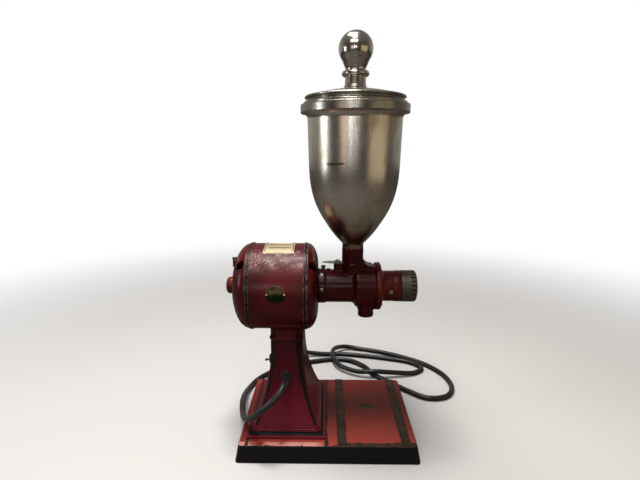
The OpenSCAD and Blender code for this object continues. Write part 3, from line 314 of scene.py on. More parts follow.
# %% Route of the cord, in metres
cord_r = 6.5
flat = cord_r * MM  # the height of its centre where it lies on the counter
cord_route = [
    (-0.086, -0.086, 0.156), (-0.088, -0.104, 0.154), (-0.098, -0.121, 0.144),
    (-0.116, -0.128, 0.126), (-0.138, -0.120, 0.103), (-0.158, -0.099, 0.079),
    (-0.175, -0.070, 0.057), (-0.187, -0.036, 0.045), (-0.196, 0.004, 0.042),
    (-0.202, 0.044, 0.032), (-0.206, 0.086, 0.018), (-0.203, 0.130, 0.008),
    (-0.186, 0.178, flat), (-0.148, 0.222, flat), (-0.098, 0.254, flat),
    (-0.042, 0.276, flat), (0.016, 0.290, flat), (0.066, 0.284, flat),
    (0.106, 0.250, flat), (0.130, 0.204, flat), (0.166, 0.166, flat),
    (0.208, 0.124, flat), (0.252, 0.092, flat), (0.302, 0.100, flat),
    (0.328, 0.144, flat), (0.322, 0.204, flat), (0.286, 0.262, flat),
    (0.232, 0.304, flat), (0.172, 0.336, flat), (0.110, 0.358, flat),
    (0.056, 0.364, 0.012), (0.022, 0.332, 0.020), (0.018, 0.284, 0.020),
    (0.036, 0.238, 0.016), (0.082, 0.206, 0.015), (0.134, 0.197, 0.020),
    (0.190, 0.202, 0.014), (0.242, 0.214, 0.007), (0.270, 0.242, flat),
    (0.242, 0.276, flat), (0.180, 0.298, flat), (0.112, 0.314, flat),
    (0.044, 0.325, flat), (-0.016, 0.322, 0.008), (-0.072, 0.318, 0.016),
]

# %% Smooth curve through the points
def through(points, steps):
    """A smooth line through the points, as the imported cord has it."""
    first = 2 * points[0] - points[1]
    last = 2 * points[-1] - points[-2]
    ends = [first, *points, last]
    line = []
    for a, b, c, d in zip(ends, ends[1:], ends[2:], ends[3:]):
        for i in range(steps):
            t = i / steps
            line.append(0.5 * (2 * b + (c - a) * t + (2 * a - 5 * b + 4 * c - d) * t * t
                               + (3 * b - a - 3 * c + d) * t * t * t))
    return line + [points[-1]]


cord_line = through([Vector(p) for p in cord_route], 8)
cord_length = sum((b - a).length for a, b in zip(cord_line, cord_line[1:]))
cord_data = bpy.data.curves.new("power_cord_look", "CURVE")
cord_data.dimensions = "3D"
cord_data.bevel_depth = cord_r * MM
cord_data.bevel_resolution = 5
cord_data.use_fill_caps = True
spline = cord_data.splines.new("POLY")
spline.points.add(len(cord_line) - 1)
for knot, p in zip(spline.points, cord_line):
    knot.co = (*p, 1.0)
spline.use_smooth = True
cord = placed("power_cord_look", cord_data)
print(f"cord {cord_length:.3f} m, {len(cord_line)} knots")

# %% [markdown]
# ## Finishes
# Every finish is mixed from noise in Object coordinates, so it sits on the metal from
# any side. Where wear follows the shape, the mesh itself carries the answer: `edge` is 1
# on sharp outer corners, and `trim` is 1 where the maker brushed black over the red, where
# a plate's rules are printed, where old polish lies between a badge's rings, and where
# painted shade darkens the notches of the adjusting ring.

# %% Red enamel
def enamel(name, red, dust=0.0, chips=0.5, gloss=0.24, matt_trim=0.04, foot=None,
           bare=(0.085, 0.066, 0.050)):
    """Old gloss enamel: cloudy red, black trim, chipped corners, and a pale speckled band
    where it faces up at a slant, which is partly dust and partly a painted highlight.
    foot = (height from, height to, red) fades to another red further down, and bare is the
    metal that shows where the corners are chipped."""
    material, shader, place = new_material(name)
    edge, trim = on_mesh(place, "edge"), on_mesh(place, "trim")
    up = parts_of(place.make("ShaderNodeNewGeometry", out=1))[2]
    clouds = noise_at(place, 14.0, 4.0)
    grain = noise_at(place, 520.0, 2.0)
    specks = noise_at(place, 260.0, 4.0, 0.7, seed=3.0)
    scars = noise_at(place, 95.0, 6.0, 0.75, seed=7.0)
    tone = mixed(step(clouds, 0.35, 0.68), shade(red, 0.42), colour(*red))
    if foot:
        lower = step(parts_of(place)[2], foot[0] * MM, foot[1] * MM)
        tone = mixed(lower, tone, colour(*foot[2]))
    brown = step(noise_at(place, 30.0, 5.0, 0.7, seed=11.0), 0.60, 0.80)
    tone = mixed(brown * 0.45, tone, colour(0.075, 0.028, 0.018))
    black = step(trim + (scars - 0.5) * 0.35, 0.45, 0.55)
    tone = mixed(black, tone, colour(0.0065, 0.006, 0.0058))
    rubbed = step(edge * 0.62 + (scars - 0.5) * 1.5, 1.02 - chips * 0.6, 1.14 - chips * 0.6)
    tone = mixed(rubbed, tone, colour(*bare))
    patchy = specks * 0.45 + noise_at(place, 48.0, 5.0, 0.7, seed=15.0) * 0.55
    # Partly dust, partly a painted highlight: a pale pink speckled band on faces that tilt up.
    dust_and_highlight = step(up, 0.52, 0.74) * step(up, 0.97, 0.86) * step(patchy, 0.47, 0.60) * dust
    tone = mixed(dust_and_highlight, tone, colour(0.50, 0.33, 0.30))
    rough = gloss + clouds * 0.12 + rubbed * 0.3 + dust_and_highlight * 0.35 + specks * dust * 0.18
    rough = rough + black * matt_trim
    plug_in(shader, Base_Color=tone, Roughness=rough, Metallic=rubbed * 0.5,
            Coat_Weight=0.04, Coat_Roughness=0.12, Specular_IOR_Level=0.19,
            Normal=bump(clouds * 0.5 + grain * 0.04 + specks * (0.03 + dust * 0.1) - rubbed * 0.25,
                        0.35, 0.55))
    return material

# %% Metals
def plated(name, metal, stain, rough, wobble, streak=(1, 1, 1), dull=0.3, metallic=1.0,
           shine=0.35, dent=None, fade=None):
    """Old plate or bare metal: streaks along one way, stains, a slightly uneven face.
    dent = (x, z, half width, half height) is a small crease in the face towards -Y, pressed
    in by the bump and darkened as painted shade, and fade = (height from, height to, colour)
    darkens the lower part. Where the mesh has trim, it is darkened: the rules of a plate, old
    polish between a badge's rings, and painted shade in the notches of a ring."""
    material, shader, place = new_material(name)
    edge, lines = on_mesh(place, "edge"), on_mesh(place, "trim")
    streaks = noise_at(place, 60.0, 5.0, 0.65, stretch=streak)
    patches = noise_at(place, 11.0, 5.0, 0.6, seed=5.0)
    fine = noise_at(place, 420.0, 3.0, 0.6, seed=9.0)
    waves = noise_at(place, 18.0, 2.0, 0.5, stretch=streak, seed=2.0)
    grime = step(patches * 0.65 + streaks * 0.35, 0.46, 0.66)
    tone = mixed(grime * dull * 2.0, colour(*metal), colour(*stain))
    tone = mixed(step(fine, 0.60, 0.82) * dull, tone, shade(stain, 0.45))
    tone = mixed(step(edge, 0.35, 0.9) * shine, tone, shade(metal, 1.35))
    if fade:
        lower = step(parts_of(place)[2] + (patches - 0.5) * 0.03, fade[0] * MM, fade[1] * MM)
        tone = mixed(lower, tone, colour(*fade[2]))
    # Trim darkens the metal: the rules of a plate, old polish on a badge, and painted shade in a
    # ring's notches.
    tone = mixed(step(lines + (fine - 0.5) * 0.5, 0.4, 0.6), tone, shade(stain, 0.22))
    height = waves * wobble + streaks * 0.016 + fine * 0.006
    if dent:
        x, y, z = parts_of(place)
        across, along = (x - dent[0] * MM) / (dent[2] * MM), (z - dent[1] * MM) / (dent[3] * MM)
        crease_and_shade = step(across * across + along * along, 1.0, 0.2) * step(y, 0.0, -0.02)
        # Painted shade: the crease is also darkened, besides the dip of the bump.
        tone = mixed(crease_and_shade * 0.75, tone, shade(stain, 0.25))
        height = height - crease_and_shade * 0.8
    plug_in(shader, Base_Color=tone, Metallic=metallic,
            Roughness=rough + grime * 0.12 + streaks * 0.08 + fine * 0.05,
            Normal=bump(height, 0.9, 0.6))
    return material

# %% Rubber and moulded plastic
def rubbery(name, base, rough, dust, sheen=0.05):
    """Dull black with pale scuffs, and a faint sheen at the sides."""
    material, shader, place = new_material(name)
    cloud = noise_at(place, 22.0, 4.0)
    fine = noise_at(place, 700.0, 3.0, 0.6, seed=4.0)
    scuff = step(noise_at(place, 75.0, 6.0, 0.75, seed=8.0), 0.54, 0.74)
    tone = mixed(step(cloud, 0.3, 0.7), colour(*base), shade(base, 1.9))
    tone = mixed(scuff * dust, tone, colour(0.16, 0.145, 0.13))
    plug_in(shader, Base_Color=tone, Roughness=rough + scuff * 0.15 + fine * 0.06,
            Specular_IOR_Level=0.45, Sheen_Weight=sheen, Sheen_Roughness=0.5,
            Normal=bump(fine * 0.12 + cloud * 0.3, 0.4, 0.5))
    return material

# %% One finish for each kind of piece
FINISH = {
    # The barrel's dust band is also a painted highlight on its upper slope.
    "barrel": enamel("red enamel with dust and painted highlight", (0.110, 0.0068, 0.0088), dust=0.9, gloss=0.25),
    # The end bells' chips are pale metal: partly wear, partly a painted highlight on the vent lips
    # and the band.
    "bell": enamel("end bell enamel", (0.108, 0.0052, 0.0070), chips=0.80,
                   bare=(0.34, 0.32, 0.28)),
    "mill": enamel("dark red enamel", (0.070, 0.0034, 0.0044), chips=0.35),
    "cap": enamel("orange red enamel", (0.215, 0.022, 0.013), chips=0.4),
    "cover": enamel("warm red enamel", (0.125, 0.0125, 0.0075), chips=0.4),
    "column": enamel("deep red enamel", (0.080, 0.0045, 0.0085), chips=0.42, gloss=0.2,
                     matt_trim=0.42, foot=(190, 80, (0.165, 0.011, 0.023))),
    "hopper": plated("old nickel", (0.60, 0.555, 0.49), (0.36, 0.29, 0.18), 0.19, 1.1,
                     streak=(1, 1, 0.3), dull=0.42, dent=(feed_x - 39, 590, 19, 3.4),
                     fade=(540, 420, (0.25, 0.215, 0.145))),
    # Painted shade: the lid and rim band take a darker copy of the nickel than the bowl.
    "lid": plated("turned nickel with painted shade", (0.33, 0.305, 0.26), (0.17, 0.145, 0.10), 0.2, 0.05),
    "knob": plated("buffed nickel", (0.56, 0.52, 0.45), (0.34, 0.28, 0.20), 0.11, 0.07,
                   dull=0.2),
    "ring": plated("tarnished ring", (0.150, 0.132, 0.098), (0.07, 0.058, 0.040), 0.36, 0.3,
                   streak=(0.2, 1, 1), dull=0.45),
    "brass": plated("worn brass", (0.62, 0.51, 0.33), (0.36, 0.27, 0.13), 0.34, 0.2,
                    dull=0.45, metallic=0.55),
    "old brass": plated("tarnished brass", (0.155, 0.115, 0.050), (0.040, 0.034, 0.017), 0.52,
                        0.5, dull=0.9, shine=0.1,
                        fade=(shaft_z + 14, shaft_z + 4, (0.016, 0.021, 0.013))),
    "black brass": plated("blackened brass", (0.080, 0.064, 0.036), (0.032, 0.028, 0.018), 0.45,
                          0.3, dull=0.6),
    "nickel": plated("dull nickel", (0.42, 0.40, 0.35), (0.2, 0.18, 0.14), 0.3, 0.2),
    "steel": plated("machined steel", (0.48, 0.48, 0.47), (0.22, 0.2, 0.18), 0.32, 0.1, dull=0.25),
    "dark steel": plated("blackened steel", (0.09, 0.085, 0.08), (0.05, 0.04, 0.035), 0.42, 0.2,
                         dull=0.3, metallic=0.85),
    "bronze": plated("bronze", (0.50, 0.32, 0.15), (0.26, 0.16, 0.08), 0.35, 0.1,
                     streak=(1, 1, 0.12)),
    "copper": plated("lacquered copper", (0.46, 0.19, 0.09), (0.22, 0.08, 0.04), 0.3, 0.3,
                     streak=(1, 1, 0.12)),
    "rubber": rubbery("black rubber", (0.0095, 0.0090, 0.0084), 0.30, 0.4, sheen=0.06),
    "pad": rubbery("base rubber", (0.010, 0.010, 0.0095), 0.7, 0.6),
    "bakelite": rubbery("black moulding", (0.010, 0.0085, 0.008), 0.22, 0.25),
}
print("finishes:", len(FINISH))

# %% [markdown]
# ## Outlines, turning and lofting
# Cast and turned parts come from a drawn outline. Modelling them by hand would work too,
# but a lathe and a loft need only the points of the profile. `dense` adds rings in
# between, so that the wear stays near its edge and doesn't smear over a whole face.

# %% Lines in millimetres
def arc(cx, cy, r, a0, a1, steps=8):
    turns = [math.radians(a0 + (a1 - a0) * i / steps) for i in range(steps + 1)]
    return [(cx + r * math.cos(t), cy + r * math.sin(t)) for t in turns]


def rounded(points, steps=4, closed=False):
    """Rounds each corner that brings a radius as its third number."""
    line, count = [], len(points)
    for i, p in enumerate(points):
        here = Vector(p[:2])
        if len(p) < 3 or (not closed and i in (0, count - 1)):
            line.append(tuple(here))
            continue
        to_last = Vector(points[i - 1][:2]) - here
        to_next = Vector(points[(i + 1) % count][:2]) - here
        cut = p[2] / math.tan(to_last.angle(to_next) / 2)
        a = here + to_last.normalized() * min(cut, to_last.length * 0.48)
        b = here + to_next.normalized() * min(cut, to_next.length * 0.48)
        for k in range(steps + 1):
            t = k / steps
            line.append(tuple(a * (1 - t) ** 2 + here * 2 * t * (1 - t) + b * t * t))
    return line


def dense(points, gap=4.0, closed=False):
    line = []
    for a, b in zip(points, points[1:] + (points[:1] if closed else [])):
        count = max(1, math.ceil(math.dist(a, b) / gap))
        line += [tuple(p + (q - p) * k / count for p, q in zip(a, b)) for k in range(count)]
    return line if closed else line + [tuple(points[-1])]

# %% Meshes from lines
def new_piece(name, points_mm, faces):
    mesh = bpy.data.meshes.new(name)
    mesh.from_pydata([Vector(p) * MM for p in points_mm], [], faces)
    return placed(name, mesh)


def turned(name, outline, axis="z", at=(0, 0, 0), segments=96, closed=False, gap=4.0):
    """A turned solid. The outline holds (place along the axis, radius) in mm."""
    line = dense(outline, gap, closed)
    points, rings = [], []
    for along, radius in line:
        count = segments if radius > 1e-6 else 1
        rings.append(range(len(points), len(points) + count))
        for k in range(count):
            t = 2 * math.pi * k / segments
            a, b = radius * math.cos(t), radius * math.sin(t)
            spot = (along, a, b) if axis == "x" else (a, b, along)
            points.append(tuple(p + q for p, q in zip(spot, at)))
    faces = []
    for low, high in zip(rings, rings[1:] + (rings[:1] if closed else [])):
        for k in range(segments):
            m = (k + 1) % segments
            if len(low) == 1 and len(high) > 1:
                faces.append((low[0], high[k], high[m]))
            elif len(high) == 1 and len(low) > 1:
                faces.append((low[k], low[m], high[0]))
            elif len(low) > 1:
                faces.append((low[k], low[m], high[m], high[k]))
    return new_piece(name, points, faces)


def on_shaft(name, outline, segments, **more):
    """A piece turned about the line of the shaft."""
    return turned(name, outline, "x", (0, 0, shaft_z), segments, **more)


def upright(name, outline, x, segments, **more):
    """A piece turned about an upright line at x."""
    return turned(name, outline, "z", (x, 0, 0), segments, **more)


def lofted(name, rings):
    """A skin over closed rings of equally many points, with a cap at each end."""
    points = [p for ring in rings for p in ring]
    n = len(rings[0])
    faces = [tuple(range(n - 1, -1, -1)), tuple(range(len(points) - n, len(points)))]
    for r in range(len(rings) - 1):
        for k in range(n):
            m = (k + 1) % n
            faces.append((r * n + k, r * n + m, r * n + n + m, r * n + n + k))
    return new_piece(name, points, faces)


def join(name, pieces):
    """Several shells as one mesh."""
    bm = bmesh.new()
    for piece in pieces:
        bm.from_mesh(piece.data)
        bpy.data.objects.remove(piece)
    mesh = bpy.data.meshes.new(name)
    bm.to_mesh(mesh)
    bm.free()
    return placed(name, mesh)


def outward(piece):
    """Merges doubles and turns every face outwards, as a boolean needs."""
    bm = bmesh.new()
    bm.from_mesh(piece.data)
    bmesh.ops.remove_doubles(bm, verts=bm.verts, dist=0.02 * MM)
    bmesh.ops.recalc_face_normals(bm, faces=bm.faces)
    bm.to_mesh(piece.data)
    bm.free()
    return piece


def baked(piece):
    """Turns a piece's modifiers into plain mesh."""
    graph = bpy.context.evaluated_depsgraph_get()
    mesh = bpy.data.meshes.new_from_object(piece.evaluated_get(graph))
    piece.modifiers.clear()
    piece.data = mesh
    return piece


def cut(piece, cutters):
    """Takes the cutters away from the piece."""
    for cutter in cutters:
        change = piece.modifiers.new("cut", "BOOLEAN")
        change.operation, change.solver, change.object = "DIFFERENCE", "EXACT", outward(cutter)
    baked(outward(piece))
    for cutter in cutters:
        bpy.data.objects.remove(cutter)
    return piece


def fused(piece, voxel_mm, rounds):
    """Melts overlapping shells into one skin, as in a casting, and softens the joints."""
    melt = outward(piece).modifiers.new("melt", "REMESH")
    melt.mode, melt.voxel_size, melt.use_smooth_shade = "VOXEL", voxel_mm * MM, True
    soft = piece.modifiers.new("soft", "SMOOTH")
    soft.factor, soft.iterations = 0.5, rounds
    return baked(piece)


# %% Where edges are rubbed
def mark_edges(piece, reach_mm=3.2):
    """Stores 1 on sharp outer corners and 0 on flat faces, as the attribute edge."""
    bm = bmesh.new()
    bm.from_mesh(piece.data)
    values = np.zeros(len(bm.verts), np.float32)
    for e in bm.edges:
        if len(e.link_faces) != 2:
            continue
        width = (e.link_faces[0].calc_area() + e.link_faces[1].calc_area()) / 2
        bend = e.calc_face_angle_signed(0.0) * e.calc_length() / max(width, 1e-9)
        for v in e.verts:
            values[v.index] = max(values[v.index], min(1.0, bend * reach_mm * MM))
    bm.free()
    mark = piece.data.attributes.new("edge", "FLOAT", "POINT")
    mark.data.foreach_set("value", values)


def mark_trim(piece, rule):
    """Stores where black trim is painted: rule gets x, y, z in mm and gives 0 to 1."""
    mark = piece.data.attributes.new("trim", "FLOAT", "POINT")
    spots = [v.co / MM for v in piece.data.vertices]
    mark.data.foreach_set("value", [float(rule(p.x, p.y, p.z)) for p in spots])


def dress(piece, nodes, finish, smooth=40, trim=None):
    """Gives a finished piece its normals, wear, finish and body, names it after the first
    node and hides the nodes it stands for.
    """
    nodes = nodes.split()
    outward(piece)
    piece.data.shade_smooth()
    piece.data.set_sharp_from_angle(angle=math.radians(smooth))
    mark_edges(piece)
    if trim:
        mark_trim(piece, trim)
    piece.data.materials.clear()
    piece.data.materials.append(FINISH[finish])
    piece.name = nodes[0] + "_look"
    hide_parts(*nodes)
    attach(piece, frame["nodes"][nodes[0]]["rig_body"])
    print(f"{piece.name}: {len(piece.data.polygons)} faces")
    return piece

# %% [markdown]
# ## The base
# The base is one iron casting like a shallow tray turned over, with leaning sides and
# two low rails that guide a bag or a tin. It is a loft of rounded rectangles. Rings a
# few millimetres inside the edge keep the chipped paint near the edge.

# %% Base casting
def rectangle(half_x, half_y, r, z, at=(0, 0)):
    corners = [(half_x, half_y, r), (-half_x, half_y, r), (-half_x, -half_y, r),
               (half_x, -half_y, r)]
    even = rounded(corners, 6, closed=True)
    line = []
    for a, b in zip(even, even[1:] + even[:1]):
        count = 12 if math.dist(a, b) > 30 else 1
        line += [tuple(p + (q - p) * k / count for p, q in zip(a, b)) for k in range(count)]
    return [(x + at[0], y + at[1], z) for x, y in line]


base_lean, base_wall, pad_h, base_corner = 6.5, 6.0, 0.6, 8.0


def base_ring(inset, z):
    lean = base_lean * z / deck_z + inset
    return rectangle(base_w / 2 - lean, base_d / 2 - lean, base_corner - min(inset, 6) * 0.9, z)


base_profile = [(base_wall, deck_z - base_wall), (base_wall, pad_h + 1), (base_wall - 1, pad_h),
                (0.8, pad_h), (0, pad_h + 0.8), (0, 10), (0, 20), (0, 28), (0, deck_z - 3.2),
                (0.3, deck_z - 1.6), (1.0, deck_z - 0.5), (2.4, deck_z), (5, deck_z),
                (9, deck_z), (15, deck_z), (26, deck_z)]
base_shell = lofted("base shell", [base_ring(inset, z) for inset, z in base_profile])
rail_w, rail_h, rail_x, rail_pitch, rail_half = 18.5, 1.6, 20.0, 129.0, 125.2
rails = []
for left in (rail_x, rail_x + rail_pitch):
    centre = (left + rail_w / 2, 0)
    rails.append(lofted("rail", [
        rectangle(rail_w / 2 - inset, rail_half - inset, 1.5, deck_z + z, centre)
        for inset, z in ((0, -1), (0, rail_h - 0.5), (0.15, rail_h - 0.15), (0.6, rail_h),
                         (2.5, rail_h), (5, rail_h))]))
base = join("base", [base_shell, *rails])

# %% [markdown]
# The deck's paint is the most worn of all. Bags and tins have rubbed the rails down to
# brown primer and iron, and the red between is a bright brick red towards the front. The
# red also carries painted light and shadow: it is darker in the middle, where the mill's
# shadow falls, and a painted highlight runs along the front edge. The masks come from
# plain distances on the deck, roughened by noise.

# %% Worn deck
def blotch(x, y, at_x, at_y, half_x, half_y, noise_lead):
    """An uneven worn spot on the deck."""
    across, along = (x - at_x) / half_x, (y - at_y) / half_y
    return step(across * across + along * along + (noise_lead - 0.5) * 2.4, 1.0, 0.7)


def strip(value, a, b, c, d):
    """1 from b to c and 0 outside a to d, all in mm."""
    return step(value, a * MM, b * MM) * step(value, d * MM, c * MM)


def deck_enamel():
    material, shader, place = new_material("worn deck enamel with painted light")
    x, y, z = parts_of(place)
    edge = on_mesh(place, "edge")
    scars = noise_at(place, 75.0, 6.0, 0.75)
    blots = noise_at(place, 24.0, 5.0, 0.65, seed=3.0)
    clouds = noise_at(place, 9.0, 3.0, seed=5.0)
    fine = noise_at(place, 420.0, 3.0, 0.6, seed=6.0)
    rough_x = x + (blots - 0.5) * 0.012
    top = step(z, (deck_z - 1.2) * MM, (deck_z - 0.4) * MM)
    # Painted light and shadow: the red is dark in the middle, where the mill's shadow falls, bright
    # towards the front, and lighter again at the back.
    near = step(y, 0.02, -0.115)
    red = mixed(near, colour(0.105, 0.0140, 0.0110), colour(0.42, 0.060, 0.044))
    red = mixed(step(y, 0.02, 0.11), red, colour(0.235, 0.024, 0.019))
    outer = step(rough_x, -0.166, -0.171)
    red = mixed(outer, red, colour(0.36, 0.032, 0.022))
    # Painted highlight: a bright salmon strip along the deck's front edge, left of the middle.
    front_highlight = step(x, 0.0, -0.03) * step(y, -0.1145, -0.1165)
    red = mixed(front_highlight * step(blots, 0.62, 0.5) * 0.9, red, colour(0.80, 0.36, 0.30))
    red = mixed(step(clouds, 0.46, 0.72) * 0.5, red, colour(0.075, 0.026, 0.016))
    skirt = mixed(step(scars, 0.66, 0.8), colour(0.008, 0.0075, 0.007), colour(0.05, 0.042, 0.035))
    tone = mixed(top, skirt, red)
    worn = strip(rough_x, -10, -6, -1, 2) * 0.9 + strip(rough_x, -170, -166, -162, -158)
    for left in (rail_x, rail_x + rail_pitch):
        worn = worn + strip(rough_x, left - 1, left + 1, left + 18, left + 20)
    worn = worn + blotch(x, y, 0.092, 0.012, 0.026, 0.013, blots * 0.4 + scars * 0.9)
    front = step(y + (blots - 0.5) * 0.012, -0.1135, -0.1165) * step(x, -0.01, 0.04)
    bare = (worn + front * 0.8) * (0.62 + scars * 0.8)
    bare = step(bare + edge * 0.55 + (scars - 0.5) * 0.7, 0.58, 0.80) * top
    primer, iron = colour(0.046, 0.030, 0.017), colour(0.076, 0.060, 0.040)
    metal = mixed(step(blots, 0.46, 0.66), primer, iron)
    tone = mixed(bare, tone, metal)
    chips = step(scars + (blots - 0.5) * 0.55 + edge * 0.16, 0.665, 0.70) * top
    tone = mixed(chips, tone, colour(0.022, 0.018, 0.014))
    plug_in(shader, Base_Color=tone, Metallic=bare * 0.35,
            Roughness=0.34 + bare * 0.12 + chips * 0.25 + clouds * 0.12 + fine * 0.05,
            Specular_IOR_Level=0.22,
            Normal=bump(clouds * 0.5 + fine * 0.04 - bare * 0.15 - chips * 0.3, 0.4, 0.6))
    return material


FINISH["deck"] = deck_enamel()
dress(base, "base_casting", "deck")

# %% [markdown]
# ## The column
# The column is a hollow casting that flares towards its foot like a bell. Every upright
# corner has a hollow groove, brushed black. Each level is one closed line: the groove's
# arc at each corner, and a thin raised line beside it. The levels are then lofted.

# %% Column casting
foot_half, flare_half, shaft_half = 81.0, 68.0, 33.0
deeper = 27.0  # the column is this much deeper than wide, on each side
flare_low, flare_high, ledge_z = 50.0, 210.0, column_top - 6.0


def half_width(z):
    """Straight at the top, and a parabola below flare_high."""
    down = max(0.0, flare_high - z) / (flare_high - flare_low)
    return shaft_half + (flare_half - shaft_half) * down ** 2


def groove(z):
    """The groove narrows from 12.5 mm at the top to 6 mm at the foot."""
    return 6.0 + 6.5 * min(1.0, max(0.0, (z - flare_low) / (ledge_z - flare_low)))


def column_ring(w, d, n, z):
    """One level: a quarter is a face with its raised line, then the corner's groove."""
    bead = min(0.8, n * 0.12)
    line = []
    for turn, (half_a, half_b) in enumerate(((w, d), (d, w), (w, d), (d, w))):
        face = [(t * (half_a - n - 4.2), half_b) for t in (-1, -0.7, -0.35, 0, 0.35, 0.7, 1)]
        lip = half_a - n
        face += [(lip - 3.4, half_b + bead), (lip - 1.6, half_b + bead), (lip - 0.5, half_b)]
        face += [(half_a + n * math.cos(t), half_b + n * math.sin(t))
                 for t in (math.radians(180 + 90 * k / 8) for k in range(9))]
        lip_b = half_b - n
        face += [(half_a, lip_b - 0.5), (half_a + bead, lip_b - 1.6), (half_a + bead, lip_b - 3.4)]
        c, s = ((1, 0), (0, 1), (-1, 0), (0, -1))[turn]
        line += [(column_x + a * c + b * s, -(a * -s + b * c), z) for a, b in face]
    return line


levels = [(foot_half - 1.6, 0.6, deck_z - 0.5), (foot_half - 0.5, 0.6, deck_z + 0.5),
          (foot_half, 0.6, deck_z + 1.6), (foot_half, 0.6, deck_z + 4.4),
          (foot_half - 0.6, 0.6, deck_z + 5.5), (foot_half - 2, 0.8, deck_z + 6),
          (foot_half - 6, 3, deck_z + 6.4), (foot_half - 8, 5, deck_z + 8),
          (foot_half - 9, 5.6, deck_z + 11), (foot_half - 9, 6, deck_z + 13),
          (flare_half + 2.6, 6, 49.4), (flare_half + 3, 6, 50.2), (flare_half + 2.8, 6, 51.4),
          (flare_half + 1.0, 6, 52.2), (flare_half + 1.6, 6, 53.4), (flare_half + 1.3, 6, 54.6)]
levels += [(half_width(z), groove(z), z) for z in
           [55.6 + (flare_high - 55.6) * (k / 26) for k in range(27)]]
levels += [(shaft_half, groove(z), z) for z in (215, 220, 226, ledge_z - 1.2)]
levels += [(shaft_half + 0.2, 9, ledge_z - 0.3), (shaft_half + 1.2, 8, ledge_z),
           (shaft_half + 1.6, 7.6, ledge_z + 0.8), (shaft_half + 1.6, 7.6, column_top - 1),
           (shaft_half + 1.0, 8, column_top - 0.2), (shaft_half, 11, column_top)]
column = lofted("column", [column_ring(w, w + deeper, n, z) for w, n, z in levels])

# %% Bosses for the cord and the switch
gland_y, gland_z, switch_x, switch_z = -66.5, 156.0, -125.5, 160.0
gland_boss_line = rounded([(-52, 0), (-52, 13.5), (gland_y, 13.5, 1.2), (gland_y, 0)])
gland_boss = turned("gland boss", gland_boss_line, "x", segments=48)
gland_boss.data.transform(Matrix.Translation((column_x * MM, 0, gland_z * MM))
                          @ Matrix.Rotation(math.radians(90), 4, "Z"))
switch_boss_line = rounded([(-112, 0), (-112, 12), (switch_x, 12, 1.0), (switch_x, 0)])
switch_boss = turned("switch boss", switch_boss_line, "x", (0, 0, switch_z), 48)
column = join("column", [column, gland_boss, switch_boss])


def column_trim(x, y, z):
    """Black in the corner grooves, and in the cove above the foot."""
    if deck_z + 6.2 < z < deck_z + 11.5:
        return 1.0
    if z < flare_low + 5 or z > ledge_z - 0.5:
        return 0.0
    w, n = half_width(z), groove(z)
    across, along = w - abs(x - column_x), w + deeper - abs(y)
    return 1.0 if across < n - 0.4 and along < n - 0.4 else 0.0


dress(column, "column_casting", "column", trim=column_trim)

# %% [markdown]
# ## The motor
# The housing is a plain iron tube on a saddle. The two end bells are rounded castings
# with a raised black band and square vents. A boolean cut makes each vent, and it is
# deeper than the wall, so the dark inside shows as it does on the real motor.

# %% Motor housing with its saddle
shell = 5.0
barrel = on_shaft("barrel", [(barrel_x0, barrel_r - shell), (barrel_x0, barrel_r),
                             (barrel_x1, barrel_r), (barrel_x1, barrel_r - shell)],
                  160, closed=True)
saddle_rings, saddle_top, spread_from = [], 294.0, 249.0
for z in [column_top + 0.2 + (saddle_top - column_top) * k / 22 for k in range(23)]:
    spread = 7.0 * min(1.0, max(0.0, (z - spread_from) / 14.0)) ** 2
    saddle_rings.append(column_ring(shaft_half + spread * 0.5, shaft_half + deeper + spread,
                                    12.5 - spread, z))
saddle = lofted("saddle", saddle_rings)
inside = on_shaft("inside", [(-260, 0), (-260, barrel_r - 2), (60, barrel_r - 2), (60, 0)], 160)
saddle = cut(saddle, [inside])
housing = join("housing", [barrel, saddle])


def saddle_trim(x, y, z):
    """The column's black grooves run on into the saddle."""
    across, along = shaft_half - abs(x - column_x), shaft_half + deeper - abs(y)
    return 1.0 if z < 262 and -3 < across < 11 and -3 < along < 11 else 0.0


dress(housing, "motor_housing", "barrel", trim=saddle_trim)

# %% End bells
band_w, band_h, cap_r = 6.0, 1.6, 18.0


def bell(name, x_face, x_rim, face_r, way):
    """way is 1 where the bell closes the left end, and -1 at the right."""
    band = x_rim - way * band_w
    outside = [(band + (x_face - band) * math.cos(t), face_r + (barrel_r - face_r) * math.sin(t))
               for t in (math.radians(90 * k / 22) for k in range(23))]
    outside[-1] = (band, barrel_r - 0.6)
    crown = rounded([(band, barrel_r - 0.6), (band, barrel_r + band_h, 0.9),
                     (x_rim, barrel_r + band_h, 0.9), (x_rim, barrel_r - shell)])
    hollow = [(band + (x_face + way * shell - band) * math.cos(t),
               face_r - 2 + (barrel_r - shell - face_r) * math.sin(t))
              for t in (math.radians(90 * k / 22) for k in range(22, -1, -1))]
    outline = [(x_face, 0)] + outside[:-1] + crown + hollow + [(x_face + way * shell, 0)]
    return on_shaft(name, outline, 144)


def vent_cutters(x):
    """Square holes with rounded corners, at 45 degrees to the vertical."""
    tools = []
    for angle in (45, 135, 225, 315):
        ring = [(-7, -8.5), (7, -8.5), (7, 8.5), (-7, 8.5)]
        line = rounded([(a, b, 1.6) for a, b in ring], 3, closed=True)
        tool = lofted("vent", [[(a * s, b * s, h) for a, b in line]
                               for h, s in ((48, 1.0), (78, 1.0), (84, 1.05), (96, 1.35))])
        turn = Matrix.Rotation(math.radians(angle - 90), 4, "X")
        tool.data.transform(Matrix.Translation((x * MM, 0, shaft_z * MM)) @ turn)
        tools.append(tool)
    return tools


